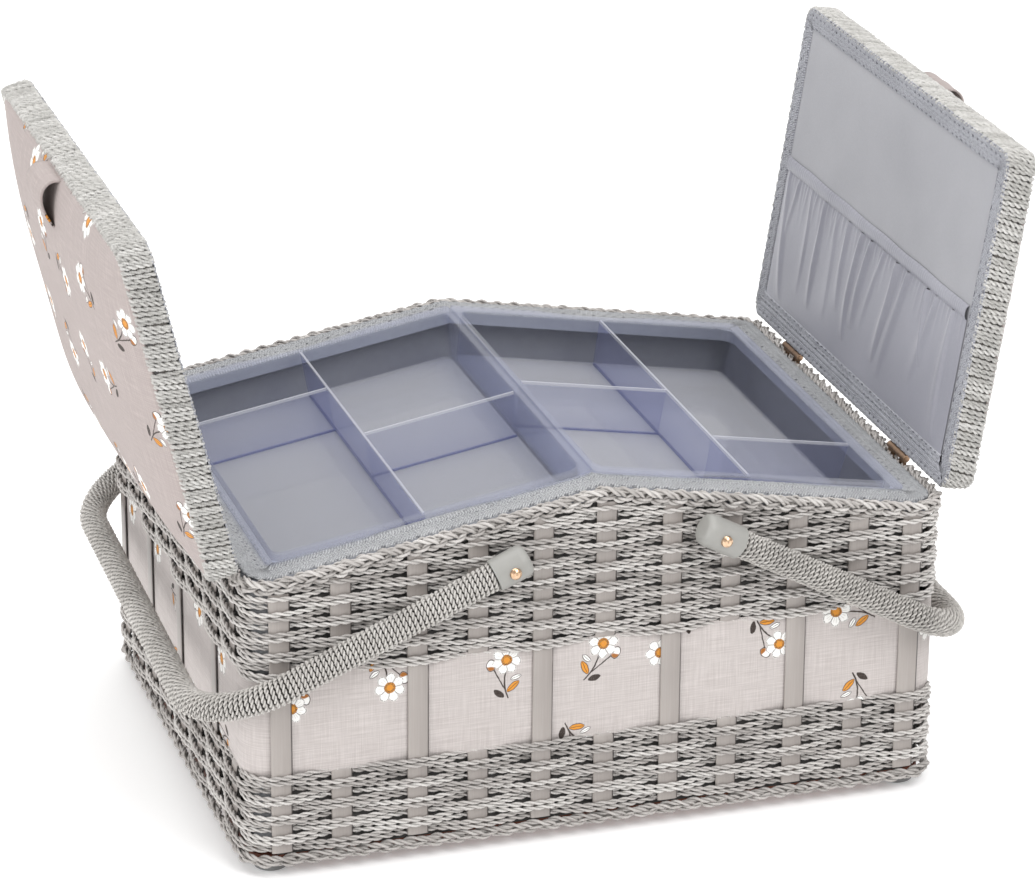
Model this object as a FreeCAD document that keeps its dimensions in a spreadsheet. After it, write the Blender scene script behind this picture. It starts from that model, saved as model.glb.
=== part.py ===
# Sewing box with two lift-out trays and two outward-opening padded lids.
# Units: millimetres.  X runs along the length of the box, Y from front to
# back, Z up.  The origin is the centre of the four-foot standing plane.
# The box is drawn with both lids open and both carrying handles hanging.
import FreeCAD, Part
import os
import math
import Sketcher
from FreeCAD import Vector, Rotation, Placement

doc = FreeCAD.newDocument("sewing_box")

# ------------------------------------------------------------------ sheet
sheet = doc.addObject("Spreadsheet::Sheet", "Params")
CELLS = [
    # woven body
    ("box_len", 400.0), ("box_wid", 308.0), ("weave_thick", 7.0), ("corner_rad", 20.0),
    ("base_low", 6.0), ("base_braid_top", 13.9), ("weave_low", 14.0),
    ("band_low", 61.0), ("band_high", 115.0),
    ("slope", 0.17273), ("slope_deg", 9.8),
    ("border_ridge", 205.0), ("border_end", 173.9), ("border_knee", 180.0), ("border_tall", 9.0),
    # slats
    ("slat_wide", 11.6), ("slat_thin", 1.6), ("pitch_front", 35.5), ("pitch_end", 35.5),
    ("slat_gap", 0.1), ("outer_slat_in", 2.8), ("inner_slat_in", 6.2),
    # fabric band
    ("band_inset", 2.9), ("band_thick", 1.3),
    # base
    ("board_thick", 4.0), ("board_low", 7.0), ("wall_thick", 2.0), ("lining_thick", 1.0),
    ("foot_x", 181.0), ("foot_y", 135.5), ("foot_rad", 10.0), ("foot_flat", 7.5), ("foot_tall", 6.95),
    ("screw_rad", 1.55), ("screw_head_rad", 3.2),
    # roof levels at the ridge (vertical)
    ("flange_ridge", 206.4), ("gimp_ridge", 204.85), ("gimp_thick", 1.25),
    ("frame_ridge", 203.55), ("frame_thick", 7.1), ("wall_ridge", 196.4),
    ("frame_in_x", 176.2), ("frame_in_y", 129.2), ("frame_in_rad", 8.0),
    # trays, in the plane of the flange
    ("tray_ridge_gap", 0.6), ("tray_reach", 183.0), ("tray_half", 133.5), ("tray_corner", 12.0),
    ("notch_at", 91.8), ("notch_rad", 151.95), ("notch_deep", 4.7),
    ("tray_in_ridge", 4.4), ("tray_in_end", 176.5), ("tray_in_half", 124.7), ("tray_in_corner", 7.0),
    ("tray_wall", 1.2), ("tray_deep", 29.0), ("tray_draft", 5.0), ("tray_draft_tan", 0.08749),
    ("divider_at", 93.2), ("divider_thick", 1.3), ("divider_low_top", 0.5),
    ("cross_end_y", -66.0), ("cross_ridge_y", 7.0),
    # lids, in the lid's own plane: along from the hinge axis, out from the inner face
    ("hinge_x", 197.4), ("hinge_z", 174.5), ("lid_left_lean", 76.8), ("lid_right_lean", 81.3),
    ("lid_start", 1.2), ("lid_reach", 195.0), ("lid_half", 149.0), ("lid_corner", 10.0),
    ("lid_braid_thick", 1.75), ("lid_braid_low", 0.95), ("lid_braid_high", 15.2),
    ("lid_frame_low", 2.05), ("lid_frame_high", 11.45), ("lid_frame_wide", 13.0), ("lid_frame_root", 16.0),
    ("lid_board_low", 11.5), ("lid_board_high", 14.5),
    ("cover_low", 14.55), ("cover_tall", 17.2), ("cover_thick", 0.8),
    ("lid_gimp_low", -0.5), ("lid_gimp_high", 0.9), ("lid_gimp_root", 17.0), ("lid_gimp_side", 10.0),
    ("lid_lining_thick", 1.95), ("pocket_thick", 1.5), ("pocket_top", 95.9), ("pocket_half", 132.0),
    ("elastic_wide", 8.0), ("elastic_thick", 1.7),
    ("tab_wide", 36.0), ("tab_rad", 14.5), ("tab_thick", 1.5), ("tab_along", 176.0), ("tab_out", 19.4),
    # butt hinges
    ("hinge_at_y", 82.0), ("hinge_wide", 24.0), ("barrel_rad", 2.0), ("pin_rad", 1.0),
    ("pin_fixed_gap", 0.01), ("pin_run_gap", 0.06), ("leaf_thick", 1.0), ("leaf_long", 15.5), ("leaf_drop", 6.05),
    ("hscrew_rad", 1.1), ("hscrew_head", 2.0),
    # handles
    ("left_pivot_x", 55.9), ("left_pivot_z", 170.8), ("right_pivot_x", 61.8), ("right_pivot_z", 174.4), ("leg_y", 164.6),
    # reach and bend of each bail at its front and back corners
    ("left_reach_front", 183.0), ("left_reach_back", 175.5), ("left_bend_front", 50.0), ("left_bend_back", 48.0),
    ("right_reach_front", 173.5), ("right_reach_back", 172.0), ("right_bend_front", 50.0), ("right_bend_back", 50.0),
    ("core_rad", 5.5), ("wrap_rad", 8.0), ("cap_rad", 9.05), ("left_cap_back", 10.6), ("left_cap_front", 9.7),
    ("right_cap_back", 12.2), ("right_cap_front", 12.0),
    ("core_start", 5.0), ("hang_left", 23.6), ("hang_right", 28.5),
    ("rivet_rad", 2.0), ("rivet_head", 3.3), ("rivet_run_gap", 0.07), ("washer_rad", 6.0), ("washer_thick", 0.7),
]
V = {}
for i, (alias, value) in enumerate(CELLS, 1):
    sheet.set("A%d" % i, alias)
    sheet.set("B%d" % i, "%.6g" % value)
    sheet.setAlias("B%d" % i, alias)
    V[alias] = value
doc.recompute()


def val(expr):
    """Number that an expression written in aliases stands for (+ - * / brackets and abs)."""
    if isinstance(expr, (int, float)):
        return float(expr)
    toks, word = [], ""
    for ch in str(expr) + " ":
        if ch.isalnum() or ch in "_.":
            word += ch
            continue
        if word:
            toks.append(word)
            word = ""
        if ch != " ":
            toks.append(ch)
    pos = [0]

    def peek():
        return toks[pos[0]] if pos[0] < len(toks) else None

    def atom():
        tok = toks[pos[0]]
        pos[0] += 1
        if tok == "-":
            return -atom()
        if tok == "+":
            return atom()
        if tok == "(":
            r = total()
            pos[0] += 1
            return r
        if tok == "abs":
            return abs(atom())
        return V[tok] if tok in V else float(tok)

    def term():
        r = atom()
        while peek() in ("*", "/"):
            op = toks[pos[0]]
            pos[0] += 1
            q = atom()
            r = r * q if op == "*" else r / q
        return r

    def total():
        r = term()
        while peek() in ("+", "-"):
            op = toks[pos[0]]
            pos[0] += 1
            q = term()
            r = r + q if op == "+" else r - q
        return r

    return float(total())


def full(expr):
    """The expression with every alias written as Params.alias."""
    if isinstance(expr, (int, float)):
        return repr(float(expr))
    out, word = "", ""
    for ch in str(expr) + " ":
        if ch.isalnum() or ch == "_" or (ch == "." and word and word[0].isdigit()):
            word += ch
        else:
            if word:
                out += ("Params." + word) if word in V else word
                word = ""
            out += ch
    return out.strip()


def bind(obj, prop, expr):
    obj.setExpression(prop, full(expr))


def plane(body, role):
    for f in body.Origin.OriginFeatures:
        if f.Role == role:
            return f
    raise ValueError(role)


def body_new(name):
    b = doc.addObject("PartDesign::Body", name)
    b.Label = name
    return b


def sketch_new(body, name, role="XY_Plane", off=None):
    sk = body.newObject("Sketcher::SketchObject", name)
    sk.AttachmentSupport = [(plane(body, role), "")]
    sk.MapMode = "FlatFace"
    if off is not None:
        # off: expression for the shift along the sketch plane's normal
        sk.AttachmentOffset = Placement(Vector(0, 0, val(off)), Rotation())
        bind(sk, "AttachmentOffset.Base.z", off)
    return sk


def dim(sk, kind, args, expr):
    v = val(expr)
    i = sk.addConstraint(Sketcher.Constraint(kind, *(list(args) + [v])))
    sk.setExpression("Constraints[%d]" % i, full(expr))
    return i


def rrect(sk, x0, x1, y0, y1, rad):
    """Rounded rectangle, edges and corner radius bound to the sheet."""
    a, b, c, d, q = [val(e) for e in (x0, x1, y0, y1, rad)]
    n = sk.GeometryCount
    L = Part.LineSegment
    sk.addGeometry(L(Vector(a + q, d, 0), Vector(b - q, d, 0)), False)
    sk.addGeometry(L(Vector(b, d - q, 0), Vector(b, c + q, 0)), False)
    sk.addGeometry(L(Vector(b - q, c, 0), Vector(a + q, c, 0)), False)
    sk.addGeometry(L(Vector(a, c + q, 0), Vector(a, d - q, 0)), False)
    for (cx, cy, s) in ((b - q, d - q, 0), (b - q, c + q, -90), (a + q, c + q, 180), (a + q, d - q, 90)):
        sk.addGeometry(Part.ArcOfCircle(Part.Circle(Vector(cx, cy, 0), Vector(0, 0, 1), q),
                                        math.radians(s), math.radians(s + 90)), False)
    C = Sketcher.Constraint
    for (g, p, h, r) in ((0, 2, 4, 2), (4, 1, 1, 1), (1, 2, 5, 2), (5, 1, 2, 1),
                         (2, 2, 6, 2), (6, 1, 3, 1), (3, 2, 7, 2), (7, 1, 0, 1)):
        sk.addConstraint(C("Tangent", n + g, p, n + h, r))
    sk.addConstraint(C("Horizontal", n))
    sk.addConstraint(C("Horizontal", n + 2))
    sk.addConstraint(C("Vertical", n + 1))
    sk.addConstraint(C("Vertical", n + 3))
    for k in (5, 6, 7):
        sk.addConstraint(C("Equal", n + 4, n + k))
    dim(sk, "Radius", (n + 4,), rad)
    dim(sk, "DistanceX", (-1, 1, n + 3, 1), x0)
    dim(sk, "DistanceX", (-1, 1, n + 1, 1), x1)
    dim(sk, "DistanceY", (-1, 1, n + 2, 1), y0)
    dim(sk, "DistanceY", (-1, 1, n, 1), y1)


def poly(sk, pts):
    """Closed polygon, each corner's two coordinates bound to the sheet."""
    n = sk.GeometryCount
    xy = [(val(a), val(b)) for a, b in pts]
    m = len(pts)
    for i in range(m):
        p, q = xy[i], xy[(i + 1) % m]
        sk.addGeometry(Part.LineSegment(Vector(p[0], p[1], 0), Vector(q[0], q[1], 0)), False)
    for i in range(m):
        sk.addConstraint(Sketcher.Constraint("Coincident", n + i, 2, n + (i + 1) % m, 1))
    for i in range(m):
        for k, kind, axis in ((0, "DistanceX", -2), (1, "DistanceY", -1)):
            if abs(xy[i][k]) < 1e-9:
                sk.addConstraint(Sketcher.Constraint("PointOnObject", n + i, 1, axis))
            else:
                dim(sk, kind, (-1, 1, n + i, 1), pts[i][k])


def circle(sk, cx, cy, rad):
    x, y, r = val(cx), val(cy), val(rad)
    g = sk.addGeometry(Part.Circle(Vector(x, y, 0), Vector(0, 0, 1), r), False)
    dim(sk, "Radius", (g,), rad)
    for v, e, kind, axis in ((x, cx, "DistanceX", -2), (y, cy, "DistanceY", -1)):
        if abs(v) < 1e-9:
            sk.addConstraint(Sketcher.Constraint("PointOnObject", g, 3, axis))
        else:
            dim(sk, kind, (-1, 1, g, 3), e)
    return g


def pad(body, sk, length, rev=False, mid=False, taper=None, name=None):
    p = body.newObject("PartDesign::Pad", name or body.Name + "_pad")
    p.Profile = sk
    p.Length = val(length)
    bind(p, "Length", length)
    p.Reversed = rev
    if mid:
        p.Midplane = True
    if taper is not None:
        p.TaperAngle = val(taper)
        bind(p, "TaperAngle", taper)
    return p


def cut(body, sk, length=None, rev=False, mid=False, taper=None, name=None):
    """Pocket; the caller's direction is checked by volume further down."""
    doc.recompute()
    before = body.Shape.Volume
    p = body.newObject("PartDesign::Pocket", name or body.Name + "_cut")
    p.Profile = sk
    if length is None:
        p.Type = "ThroughAll"
    else:
        p.Length = val(length)
        bind(p, "Length", length)
    p.Reversed = rev
    if mid:
        p.Midplane = True
    if taper is not None:
        p.TaperAngle = val(taper)
        bind(p, "TaperAngle", taper)
    doc.recompute()
    if not body.Shape.Volume < before - 1e-6:
        raise RuntimeError("pocket cut nothing: " + body.Label)
    return p


def part_box(name, x, y, z, dx, dy, dz):
    b = doc.addObject("Part::Box", name)
    b.Label = name
    for prop, e in (("Length", dx), ("Width", dy), ("Height", dz)):
        setattr(b, prop, val(e))
        bind(b, prop, e)
    b.Placement = Placement(Vector(val(x), val(y), val(z)), Rotation())
    for ax, e in (("x", x), ("y", y), ("z", z)):
        bind(b, "Placement.Base." + ax, e)
    return b


def part_cyl(name, rad, tall, place):
    c = doc.addObject("Part::Cylinder", name)
    c.Label = name
    c.Radius = val(rad)
    c.Height = val(tall)
    bind(c, "Radius", rad)
    bind(c, "Height", tall)
    c.Placement = place
    return c


def group(name, objs):
    g = doc.addObject("Part::Compound", name)
    g.Label = name
    g.Links = objs
    return g


def boolean(kind, name, base, tool):
    c = doc.addObject(kind, name)
    c.Label = name
    c.Base = base
    c.Tool = tool
    return c


NODES = []


def node(obj):
    NODES.append(obj)
    return obj


HX, HY = "box_len/2", "box_wid/2"
IX, IY = "(box_len/2-weave_thick)", "(box_wid/2-weave_thick)"


def ring_sketch(body, name, off, ox, oy, orad, ix=None, iy=None, irad=None):
    sk = sketch_new(body, name, "XY_Plane", off)
    rrect(sk, "-(%s)" % ox, ox, "-(%s)" % oy, oy, orad)
    if ix is not None:
        rrect(sk, "-(%s)" % ix, ix, "-(%s)" % iy, iy, irad)
    return sk


def roof_cut(body, ridge, knee=None, end=None, above=True):
    """Cut away what is above (or below) a double slope that falls from the ridge."""
    sk = sketch_new(body, body.Name + ("_roof" if above else "_under"), "XZ_Plane")
    far, hi = "box_len/2+30", ("320" if above else "-60")
    if knee is None:
        pts = [("-(%s)" % far, hi), ("-(%s)" % far, "%s-slope*(%s)" % (ridge, far)), ("0", ridge),
               (far, "%s-slope*(%s)" % (ridge, far)), (far, hi)]
    else:
        pts = [("-(%s)" % far, hi), ("-(%s)" % far, end), ("-(%s)" % knee, end), ("0", ridge),
               (knee, end), (far, end), (far, hi)]
    poly(sk, pts)
    return cut(body, sk, "box_wid+80", mid=True, name=body.Name + ("_top" if above else "_bottom"))


# ------------------------------------------------------------------ base
b = body_new("base_board")
pad(b, ring_sketch(b, "base_board_outline", "board_low", IX + "-0.2", IY + "-0.2", "corner_rad-weave_thick-0.2"),
    "board_thick")
sk = sketch_new(b, "base_board_holes", "XY_Plane", "board_low")
for sx in (-1, 1):
    for sy in (-1, 1):
        circle(sk, "%d*foot_x" % sx, "%d*foot_y" % sy, "screw_rad+0.05")
cut(b, sk, "board_thick-0.4", rev=True)
node(b)

b = body_new("base_braid")
pad(b, ring_sketch(b, "base_braid_outline", "base_low", HX, HY, "corner_rad", IX, IY, "corner_rad-weave_thick"),
    "base_braid_top-base_low")
node(b)

feet, screws = [], []
for n_, (sx, sy) in enumerate(((-1, -1), (1, -1), (-1, 1), (1, 1))):
    b = body_new("foot_%d" % n_)
    sk = sketch_new(b, "foot_%d_half" % n_, "XZ_Plane")
    poly(sk, [("screw_head_rad+0.2", "0"), ("foot_flat", "0"), ("foot_flat+1.6", "0.9"), ("foot_rad-0.2", "2.6"),
              ("foot_rad", "4.2"), ("foot_rad", "foot_tall"), ("screw_rad+0.1", "foot_tall"),
              ("screw_rad+0.1", "2.2"), ("screw_head_rad+0.2", "2.2")])
    r = b.newObject("PartDesign::Revolution", "foot_%d_turned" % n_)
    r.Profile = sk
    r.ReferenceAxis = (sk, ["V_Axis"])
    r.Angle = 360
    b.Placement = Placement(Vector(sx * V["foot_x"], sy * V["foot_y"], 0), Rotation())
    bind(b, "Placement.Base.x", "%d*foot_x" % sx)
    bind(b, "Placement.Base.y", "%d*foot_y" % sy)
    feet.append(b)
    b = body_new("foot_screw_%d" % n_)
    sk = sketch_new(b, "foot_screw_%d_half" % n_, "XZ_Plane")
    poly(sk, [("0", "0.5"), ("screw_head_rad-0.6", "0.5"), ("screw_head_rad", "1.1"), ("screw_head_rad", "2.1"),
              ("screw_rad", "2.1"), ("screw_rad", "board_low+board_thick-1.8"), ("0", "board_low+board_thick-0.6")])
    r = b.newObject("PartDesign::Revolution", "foot_screw_%d_turned" % n_)
    r.Profile = sk
    r.ReferenceAxis = (sk, ["V_Axis"])
    r.Angle = 360
    b.Placement = Placement(Vector(sx * V["foot_x"], sy * V["foot_y"], 0), Rotation())
    bind(b, "Placement.Base.x", "%d*foot_x" % sx)
    bind(b, "Placement.Base.y", "%d*foot_y" % sy)
    screws.append(b)
node(group("feet", feet))
node(group("foot_screws", screws))

# ------------------------------------------------------------------ slats
FRONT = range(-5, 6)           # 11 columns along the front and the back
ENDS = (-3.5, -2.5, -1.5, -0.5, 0.5, 1.5, 2.5, 3.5)   # 8 columns on each end


# the hand-set slats stray from an even pitch, by this many millimetres
STRAY = {("f", -5): -0.8, ("f", -4): -3.0, ("f", -3): 3.6, ("f", -2): 1.8, ("f", -1): 2.1, ("f", 0): 2.1, ("f", 1): 3.9,
         ("f", 2): 2.2, ("f", 3): 5.0, ("f", 4): 4.9, ("f", 5): 0.5,
         ("l", -2.5): 3.0, ("l", -1.5): 7.0, ("l", -0.5): 11.0, ("l", 0.5): 10.0, ("l", 1.5): 9.5, ("l", 2.5): 7.0, ("l", 3.5): 5.0}


def slat_box(name, side, k, depth, grow):
    """One slat (or the channel that it runs in, when grow is above nought)."""
    along = "(%g*%s+(%g))" % (k, "pitch_front" if side in "fb" else "pitch_end", STRAY.get((side, k), 0))
    low = "base_braid_top+0.6-(%s)" % grow
    if side in "fb":
        top = "border_ridge-border_tall-slope*abs(%s)-slope*slat_wide/2-0.6+(%s)" % (along, grow)
    else:
        top = "border_end-border_tall-0.6+(%s)" % grow
    tall = "(%s)-(%s)" % (top, low)
    wide, thin = "slat_wide+2*(%s)" % grow, "slat_thin+2*(%s)" % grow
    if side == "f":
        return part_box(name, "%s-(%s)/2" % (along, wide), "-(%s)+%s-(%s)" % (HY, depth, grow), low, wide, thin, tall)
    if side == "b":
        return part_box(name, "%s-(%s)/2" % (along, wide), "(%s)-%s-slat_thin-(%s)" % (HY, depth, grow), low, wide, thin, tall)
    if side == "l":
        return part_box(name, "-(%s)+%s-(%s)" % (HX, depth, grow), "%s-(%s)/2" % (along, wide), low, thin, wide, tall)
    return part_box(name, "(%s)-%s-slat_thin-(%s)" % (HX, depth, grow), "%s-(%s)/2" % (along, wide), low, thin, wide, tall)


def is_outer(side, k):
    """Every other slat passes outside the fabric band, all the way round."""
    if side == "f":
        return k % 2 != 0
    if side == "b":
        return k % 2 == 0
    if side == "l":
        return k in (-2.5, -0.5, 1.5, 3.5)
    return k in (3.5, 1.5, -0.5, -2.5)


outer, inner, ch_out, ch_in = [], [], [], []
for side in "fblr":
    for j, k in enumerate(FRONT if side in "fb" else ENDS):
        tag = "%s%02d" % (side, j)
        if is_outer(side, k):
            outer.append(slat_box("slat_" + tag, side, k, "(outer_slat_in-slat_thin)", "0"))
            ch_out.append(slat_box("channel_" + tag, side, k, "(outer_slat_in-slat_thin)", "slat_gap"))
        else:
            inner.append(slat_box("slat_" + tag, side, k, "(inner_slat_in-slat_thin)", "0"))
            ch_in.append(slat_box("channel_" + tag, side, k, "(inner_slat_in-slat_thin)", "slat_gap"))
node(group("outer_slats", outer))
node(group("inner_slats", inner))
channels = group("slat_channels", ch_out + ch_in)

# ------------------------------------------------------------------ woven walls
b = body_new("lower_weave_ring")
pad(b, ring_sketch(b, "lower_weave_outline", "weave_low", HX, HY, "corner_rad", IX, IY, "corner_rad-weave_thick"),
    "band_low-weave_low-0.05")
lw_ring = b
b = body_new("upper_weave_ring")
pad(b, ring_sketch(b, "upper_weave_outline", "band_high+0.05", HX, HY, "corner_rad", IX, IY, "corner_rad-weave_thick"),
    "border_ridge-band_high")
roof_cut(b, "border_ridge-border_tall-0.1", "border_knee", "border_end-border_tall-0.1")
uw_ring = b
node(boolean("Part::Cut", "lower_weave", lw_ring, channels))
channels2 = group("slat_channels_high", ch_out + ch_in)
node(boolean("Part::Cut", "upper_weave_solid", uw_ring, channels2))

b = body_new("rim_border_ring")
pad(b, ring_sketch(b, "rim_border_outline", "border_end-border_tall-4", HX, HY, "corner_rad", IX, IY, "corner_rad-weave_thick"),
    "border_ridge-border_end+border_tall+8")
roof_cut(b, "border_ridge", "border_knee", "border_end")
roof_cut(b, "border_ridge-border_tall", "border_knee", "border_end-border_tall", above=False)
fil_src = b
notch = []
for sx in (-1, 1):
    for sy in (-1, 1):
        x0 = "-hinge_x-barrel_rad-0.7" if sx < 0 else IX + "-0.5"
        notch.append(part_box("hinge_notch_%d%d" % (sx + 1, sy + 1), x0, "%d*hinge_at_y-hinge_wide/2-0.8" % sy,
                              "hinge_z-leaf_drop-1.2", "hinge_x+barrel_rad+0.7-(%s)+0.5" % IX, "hinge_wide+1.6", "leaf_drop+6"))
node(boolean("Part::Cut", "rim_border", fil_src, group("hinge_notches", notch)))

b = body_new("fabric_band")
pad(b, ring_sketch(b, "fabric_band_outline", "band_low+0.1", HX + "-band_inset", HY + "-band_inset", "corner_rad-band_inset",
                   HX + "-band_inset-band_thick", HY + "-band_inset-band_thick", "corner_rad-band_inset-band_thick"),
    "band_high-band_low-0.2")
node(b)

# ------------------------------------------------------------------ wall boards, lining, rim frame
for name, sy in (("front_wall_board", -1), ("back_wall_board", 1)):
    b = body_new(name)
    sk = sketch_new(b, name + "_outline", "XZ_Plane")
    edge = "(%s-(corner_rad-weave_thick))" % IX
    base = "board_low+board_thick+0.05"
    poly(sk, [("-%s" % edge, base), (edge, base), (edge, "wall_ridge-slope*%s" % edge), ("0", "wall_ridge"),
              ("-%s" % edge, "wall_ridge-slope*%s" % edge)])
    pad(b, sk, "wall_thick")
    # the pad grows towards -Y from the XZ plane
    if sy < 0:
        b.Placement = Placement(Vector(0, -(V["box_wid"] / 2 - V["weave_thick"] - 0.2 - V["wall_thick"]), 0), Rotation())
        bind(b, "Placement.Base.y", "-(%s-0.2-wall_thick)" % IY)
    else:
        b.Placement = Placement(Vector(0, V["box_wid"] / 2 - V["weave_thick"] - 0.2, 0), Rotation())
        bind(b, "Placement.Base.y", "%s-0.2" % IY)
    node(b)
for name, sx in (("left_wall_board", -1), ("right_wall_board", 1)):
    half = "(%s-(corner_rad-weave_thick))" % IY
    top = "wall_ridge-slope*(%s)-0.2" % IX
    x0 = "-(%s)+0.2" % IX if sx < 0 else "%s-0.2-wall_thick" % IX
    node(part_box(name, x0, "-(%s)" % half, "board_low+board_thick+0.05", "wall_thick", "2*%s" % half,
                  "(%s)-board_low-board_thick-0.05" % top))

b = body_new("box_lining")
LX, LY = IX + "-0.3-wall_thick", IY + "-0.3-wall_thick"
pad(b, ring_sketch(b, "box_lining_outline", "board_low+board_thick+0.05", LX, LY, "corner_rad-weave_thick-0.3-wall_thick"),
    "wall_ridge-board_low")
sk = ring_sketch(b, "box_lining_inside", "board_low+board_thick+0.05+lining_thick", LX + "-lining_thick", LY + "-lining_thick",
                 "corner_rad-weave_thick-0.3-wall_thick-lining_thick")
cut(b, sk, "wall_ridge", rev=True)
roof_cut(b, "wall_ridge")
node(b)

leaf_pocket = []
frames = {}
for name, sx in (("left_rim_frame", -1), ("right_rim_frame", 1)):
    b = body_new(name + "_flat")
    sk = sketch_new(b, name + "_outline", "XY_Plane", "wall_ridge-slope*(box_len/2)-10")
    rrect(sk, "-(%s-0.2)" % IX, IX + "-0.2", "-(%s-0.2)" % IY, IY + "-0.2", "corner_rad-weave_thick-0.2")
    rrect(sk, "-frame_in_x", "frame_in_x", "-frame_in_y", "frame_in_y", "frame_in_rad")
    pad(b, sk, "slope*box_len/2+20")
    roof_cut(b, "frame_ridge")
    roof_cut(b, "frame_ridge-frame_thick", above=False)
    sk = sketch_new(b, name + "_half", "XY_Plane", "wall_ridge-slope*(box_len/2)-12")
    if sx < 0:
        rrect(sk, "-0.05", "box_len/2+20", "-(box_wid/2+20)", "box_wid/2+20", "1")
    else:
        rrect(sk, "-(box_len/2+20)", "0.05", "-(box_wid/2+20)", "box_wid/2+20", "1")
    cut(b, sk, "slope*box_len/2+40", rev=True)
    frames[sx] = b

b = body_new("rim_gimp")
pad(b, ring_sketch(b, "rim_gimp_outline", "wall_ridge-slope*(box_len/2)-10", IX + "-0.1", IY + "-0.1", "corner_rad-weave_thick-0.1",
                   "frame_in_x-0.6", "frame_in_y-0.3", "frame_in_rad"), "slope*box_len/2+30")
roof_cut(b, "gimp_ridge")
roof_cut(b, "gimp_ridge-gimp_thick", above=False)
node(b)

# ------------------------------------------------------------------ placements of the sloping and leaning assemblies
TURN = Rotation(Vector(0, 0, 1), 180)
ROT_Y = lambda a: Rotation(Vector(0, 1, 0), a)


def lid_place(side, shift=Vector(0, 0, 0)):
    """Lid's own frame: X from the hinge axis to the free edge, Z out of the outer face."""
    lean = V["lid_left_lean"] if side == "left" else V["lid_right_lean"]
    base = Placement(Vector(-V["hinge_x"], 0, V["hinge_z"]), ROT_Y(-(180 - lean)))
    if side == "right":
        base = Placement(Vector(0, 0, 0), TURN).multiply(base)
    return base.multiply(Placement(shift, Rotation()))


def closed_place(side):
    """The lid's frame as it lies when the lid is shut: used for the hinge leaves on the box."""
    base = Placement(Vector(-V["hinge_x"], 0, V["hinge_z"]), ROT_Y(-V["slope_deg"]))
    return Placement(Vector(0, 0, 0), TURN).multiply(base) if side == "right" else base


def tray_place(side):
    """Tray's own frame: X down the slope from the ridge, Z square to the flange."""
    base = Placement(Vector(0, 0, V["flange_ridge"]), ROT_Y(V["slope_deg"]))
    return Placement(Vector(0, 0, 0), TURN).multiply(base) if side == "left" else base


def handle_place(side):
    """Handle's own frame: X from the pivot to the crossbar, Y along the crossbar."""
    hang = V["hang_left"] if side == "left" else V["hang_right"]
    base = Placement(Vector(V[side + "_pivot_x"], 0, V[side + "_pivot_z"]), ROT_Y(hang))
    return Placement(Vector(0, 0, 0), TURN).multiply(base) if side == "left" else base


# ------------------------------------------------------------------ butt hinges
box_leaves, pins, box_screws = [], [], []
for side in ("left", "right"):
    for j, sy in enumerate((-1, 1)):
        tag = "%s_%d" % (side, j)
        mid = Vector(0, sy * V["hinge_at_y"], 0)
        at = closed_place(side).multiply(Placement(mid, Rotation()))
        # leaf screwed to the rim frame, with the two outer knuckles
        b = body_new("box_leaf_" + tag)
        sk = sketch_new(b, "box_leaf_%s_side" % tag, "XZ_Plane")
        poly(sk, [("-0.6", "-barrel_rad+0.3"), ("-0.6", "-leaf_drop"), ("leaf_long", "-leaf_drop"),
                  ("leaf_long", "-leaf_drop+leaf_thick"), ("0.6", "-leaf_drop+leaf_thick"), ("0.6", "-barrel_rad+0.3")])
        pad(b, sk, "hinge_wide", mid=True)
        sk = sketch_new(b, "box_leaf_%s_barrel" % tag, "XZ_Plane")
        circle(sk, "0", "0", "barrel_rad")
        pad(b, sk, "hinge_wide", mid=True, name="box_leaf_%s_barrel_pad" % tag)
        sk = sketch_new(b, "box_leaf_%s_gap" % tag, "XZ_Plane")
        poly(sk, [("-barrel_rad-1", "-leaf_drop+leaf_thick+0.5"), ("barrel_rad+1", "-leaf_drop+leaf_thick+0.5"),
                  ("barrel_rad+1", "barrel_rad+1"), ("-barrel_rad-1", "barrel_rad+1")])
        cut(b, sk, "hinge_wide/3+0.2", mid=True, name="box_leaf_%s_gap_cut" % tag)
        sk = sketch_new(b, "box_leaf_%s_bore" % tag, "XZ_Plane")
        circle(sk, "0", "0", "pin_rad+pin_fixed_gap")
        cut(b, sk, None, mid=True, name="box_leaf_%s_bore_cut" % tag)
        sk = sketch_new(b, "box_leaf_%s_holes" % tag, "XY_Plane", "-leaf_drop-1")
        circle(sk, "10", "-7", "hscrew_rad+0.05")
        circle(sk, "10", "7", "hscrew_rad+0.05")
        cut(b, sk, "3", rev=True, name="box_leaf_%s_holes_cut" % tag)
        b.Placement = at
        box_leaves.append(b)
        pins.append(part_cyl("hinge_pin_" + tag, "pin_rad", "hinge_wide+0.6",
                             at.multiply(Placement(Vector(0, -(V["hinge_wide"] + 0.6) / 2, 0), Rotation(Vector(1, 0, 0), -90)))))
        for q, ys in enumerate((-7, 7)):
            b = body_new("box_hinge_screw_%s_%d" % (tag, q))
            sk = sketch_new(b, "box_hinge_screw_%s_%d_half" % (tag, q), "XZ_Plane")
            poly(sk, [("0", "0.05"), ("hscrew_rad", "0.05"), ("hscrew_rad", "-4.6"), ("0", "-5.4")])
            r = b.newObject("PartDesign::Revolution", "box_hinge_screw_%s_%d_turned" % (tag, q))
            r.Profile = sk
            r.ReferenceAxis = (sk, ["V_Axis"])
            r.Angle = 360
            b.Placement = at.multiply(Placement(Vector(10, ys, -(V["leaf_drop"] - V["leaf_thick"]) - 0.06), Rotation()))
            box_screws.append(b)
node(group("hinge_box_leaves", box_leaves))
node(group("hinge_pins", pins))
node(group("hinge_box_screws", box_screws))

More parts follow.
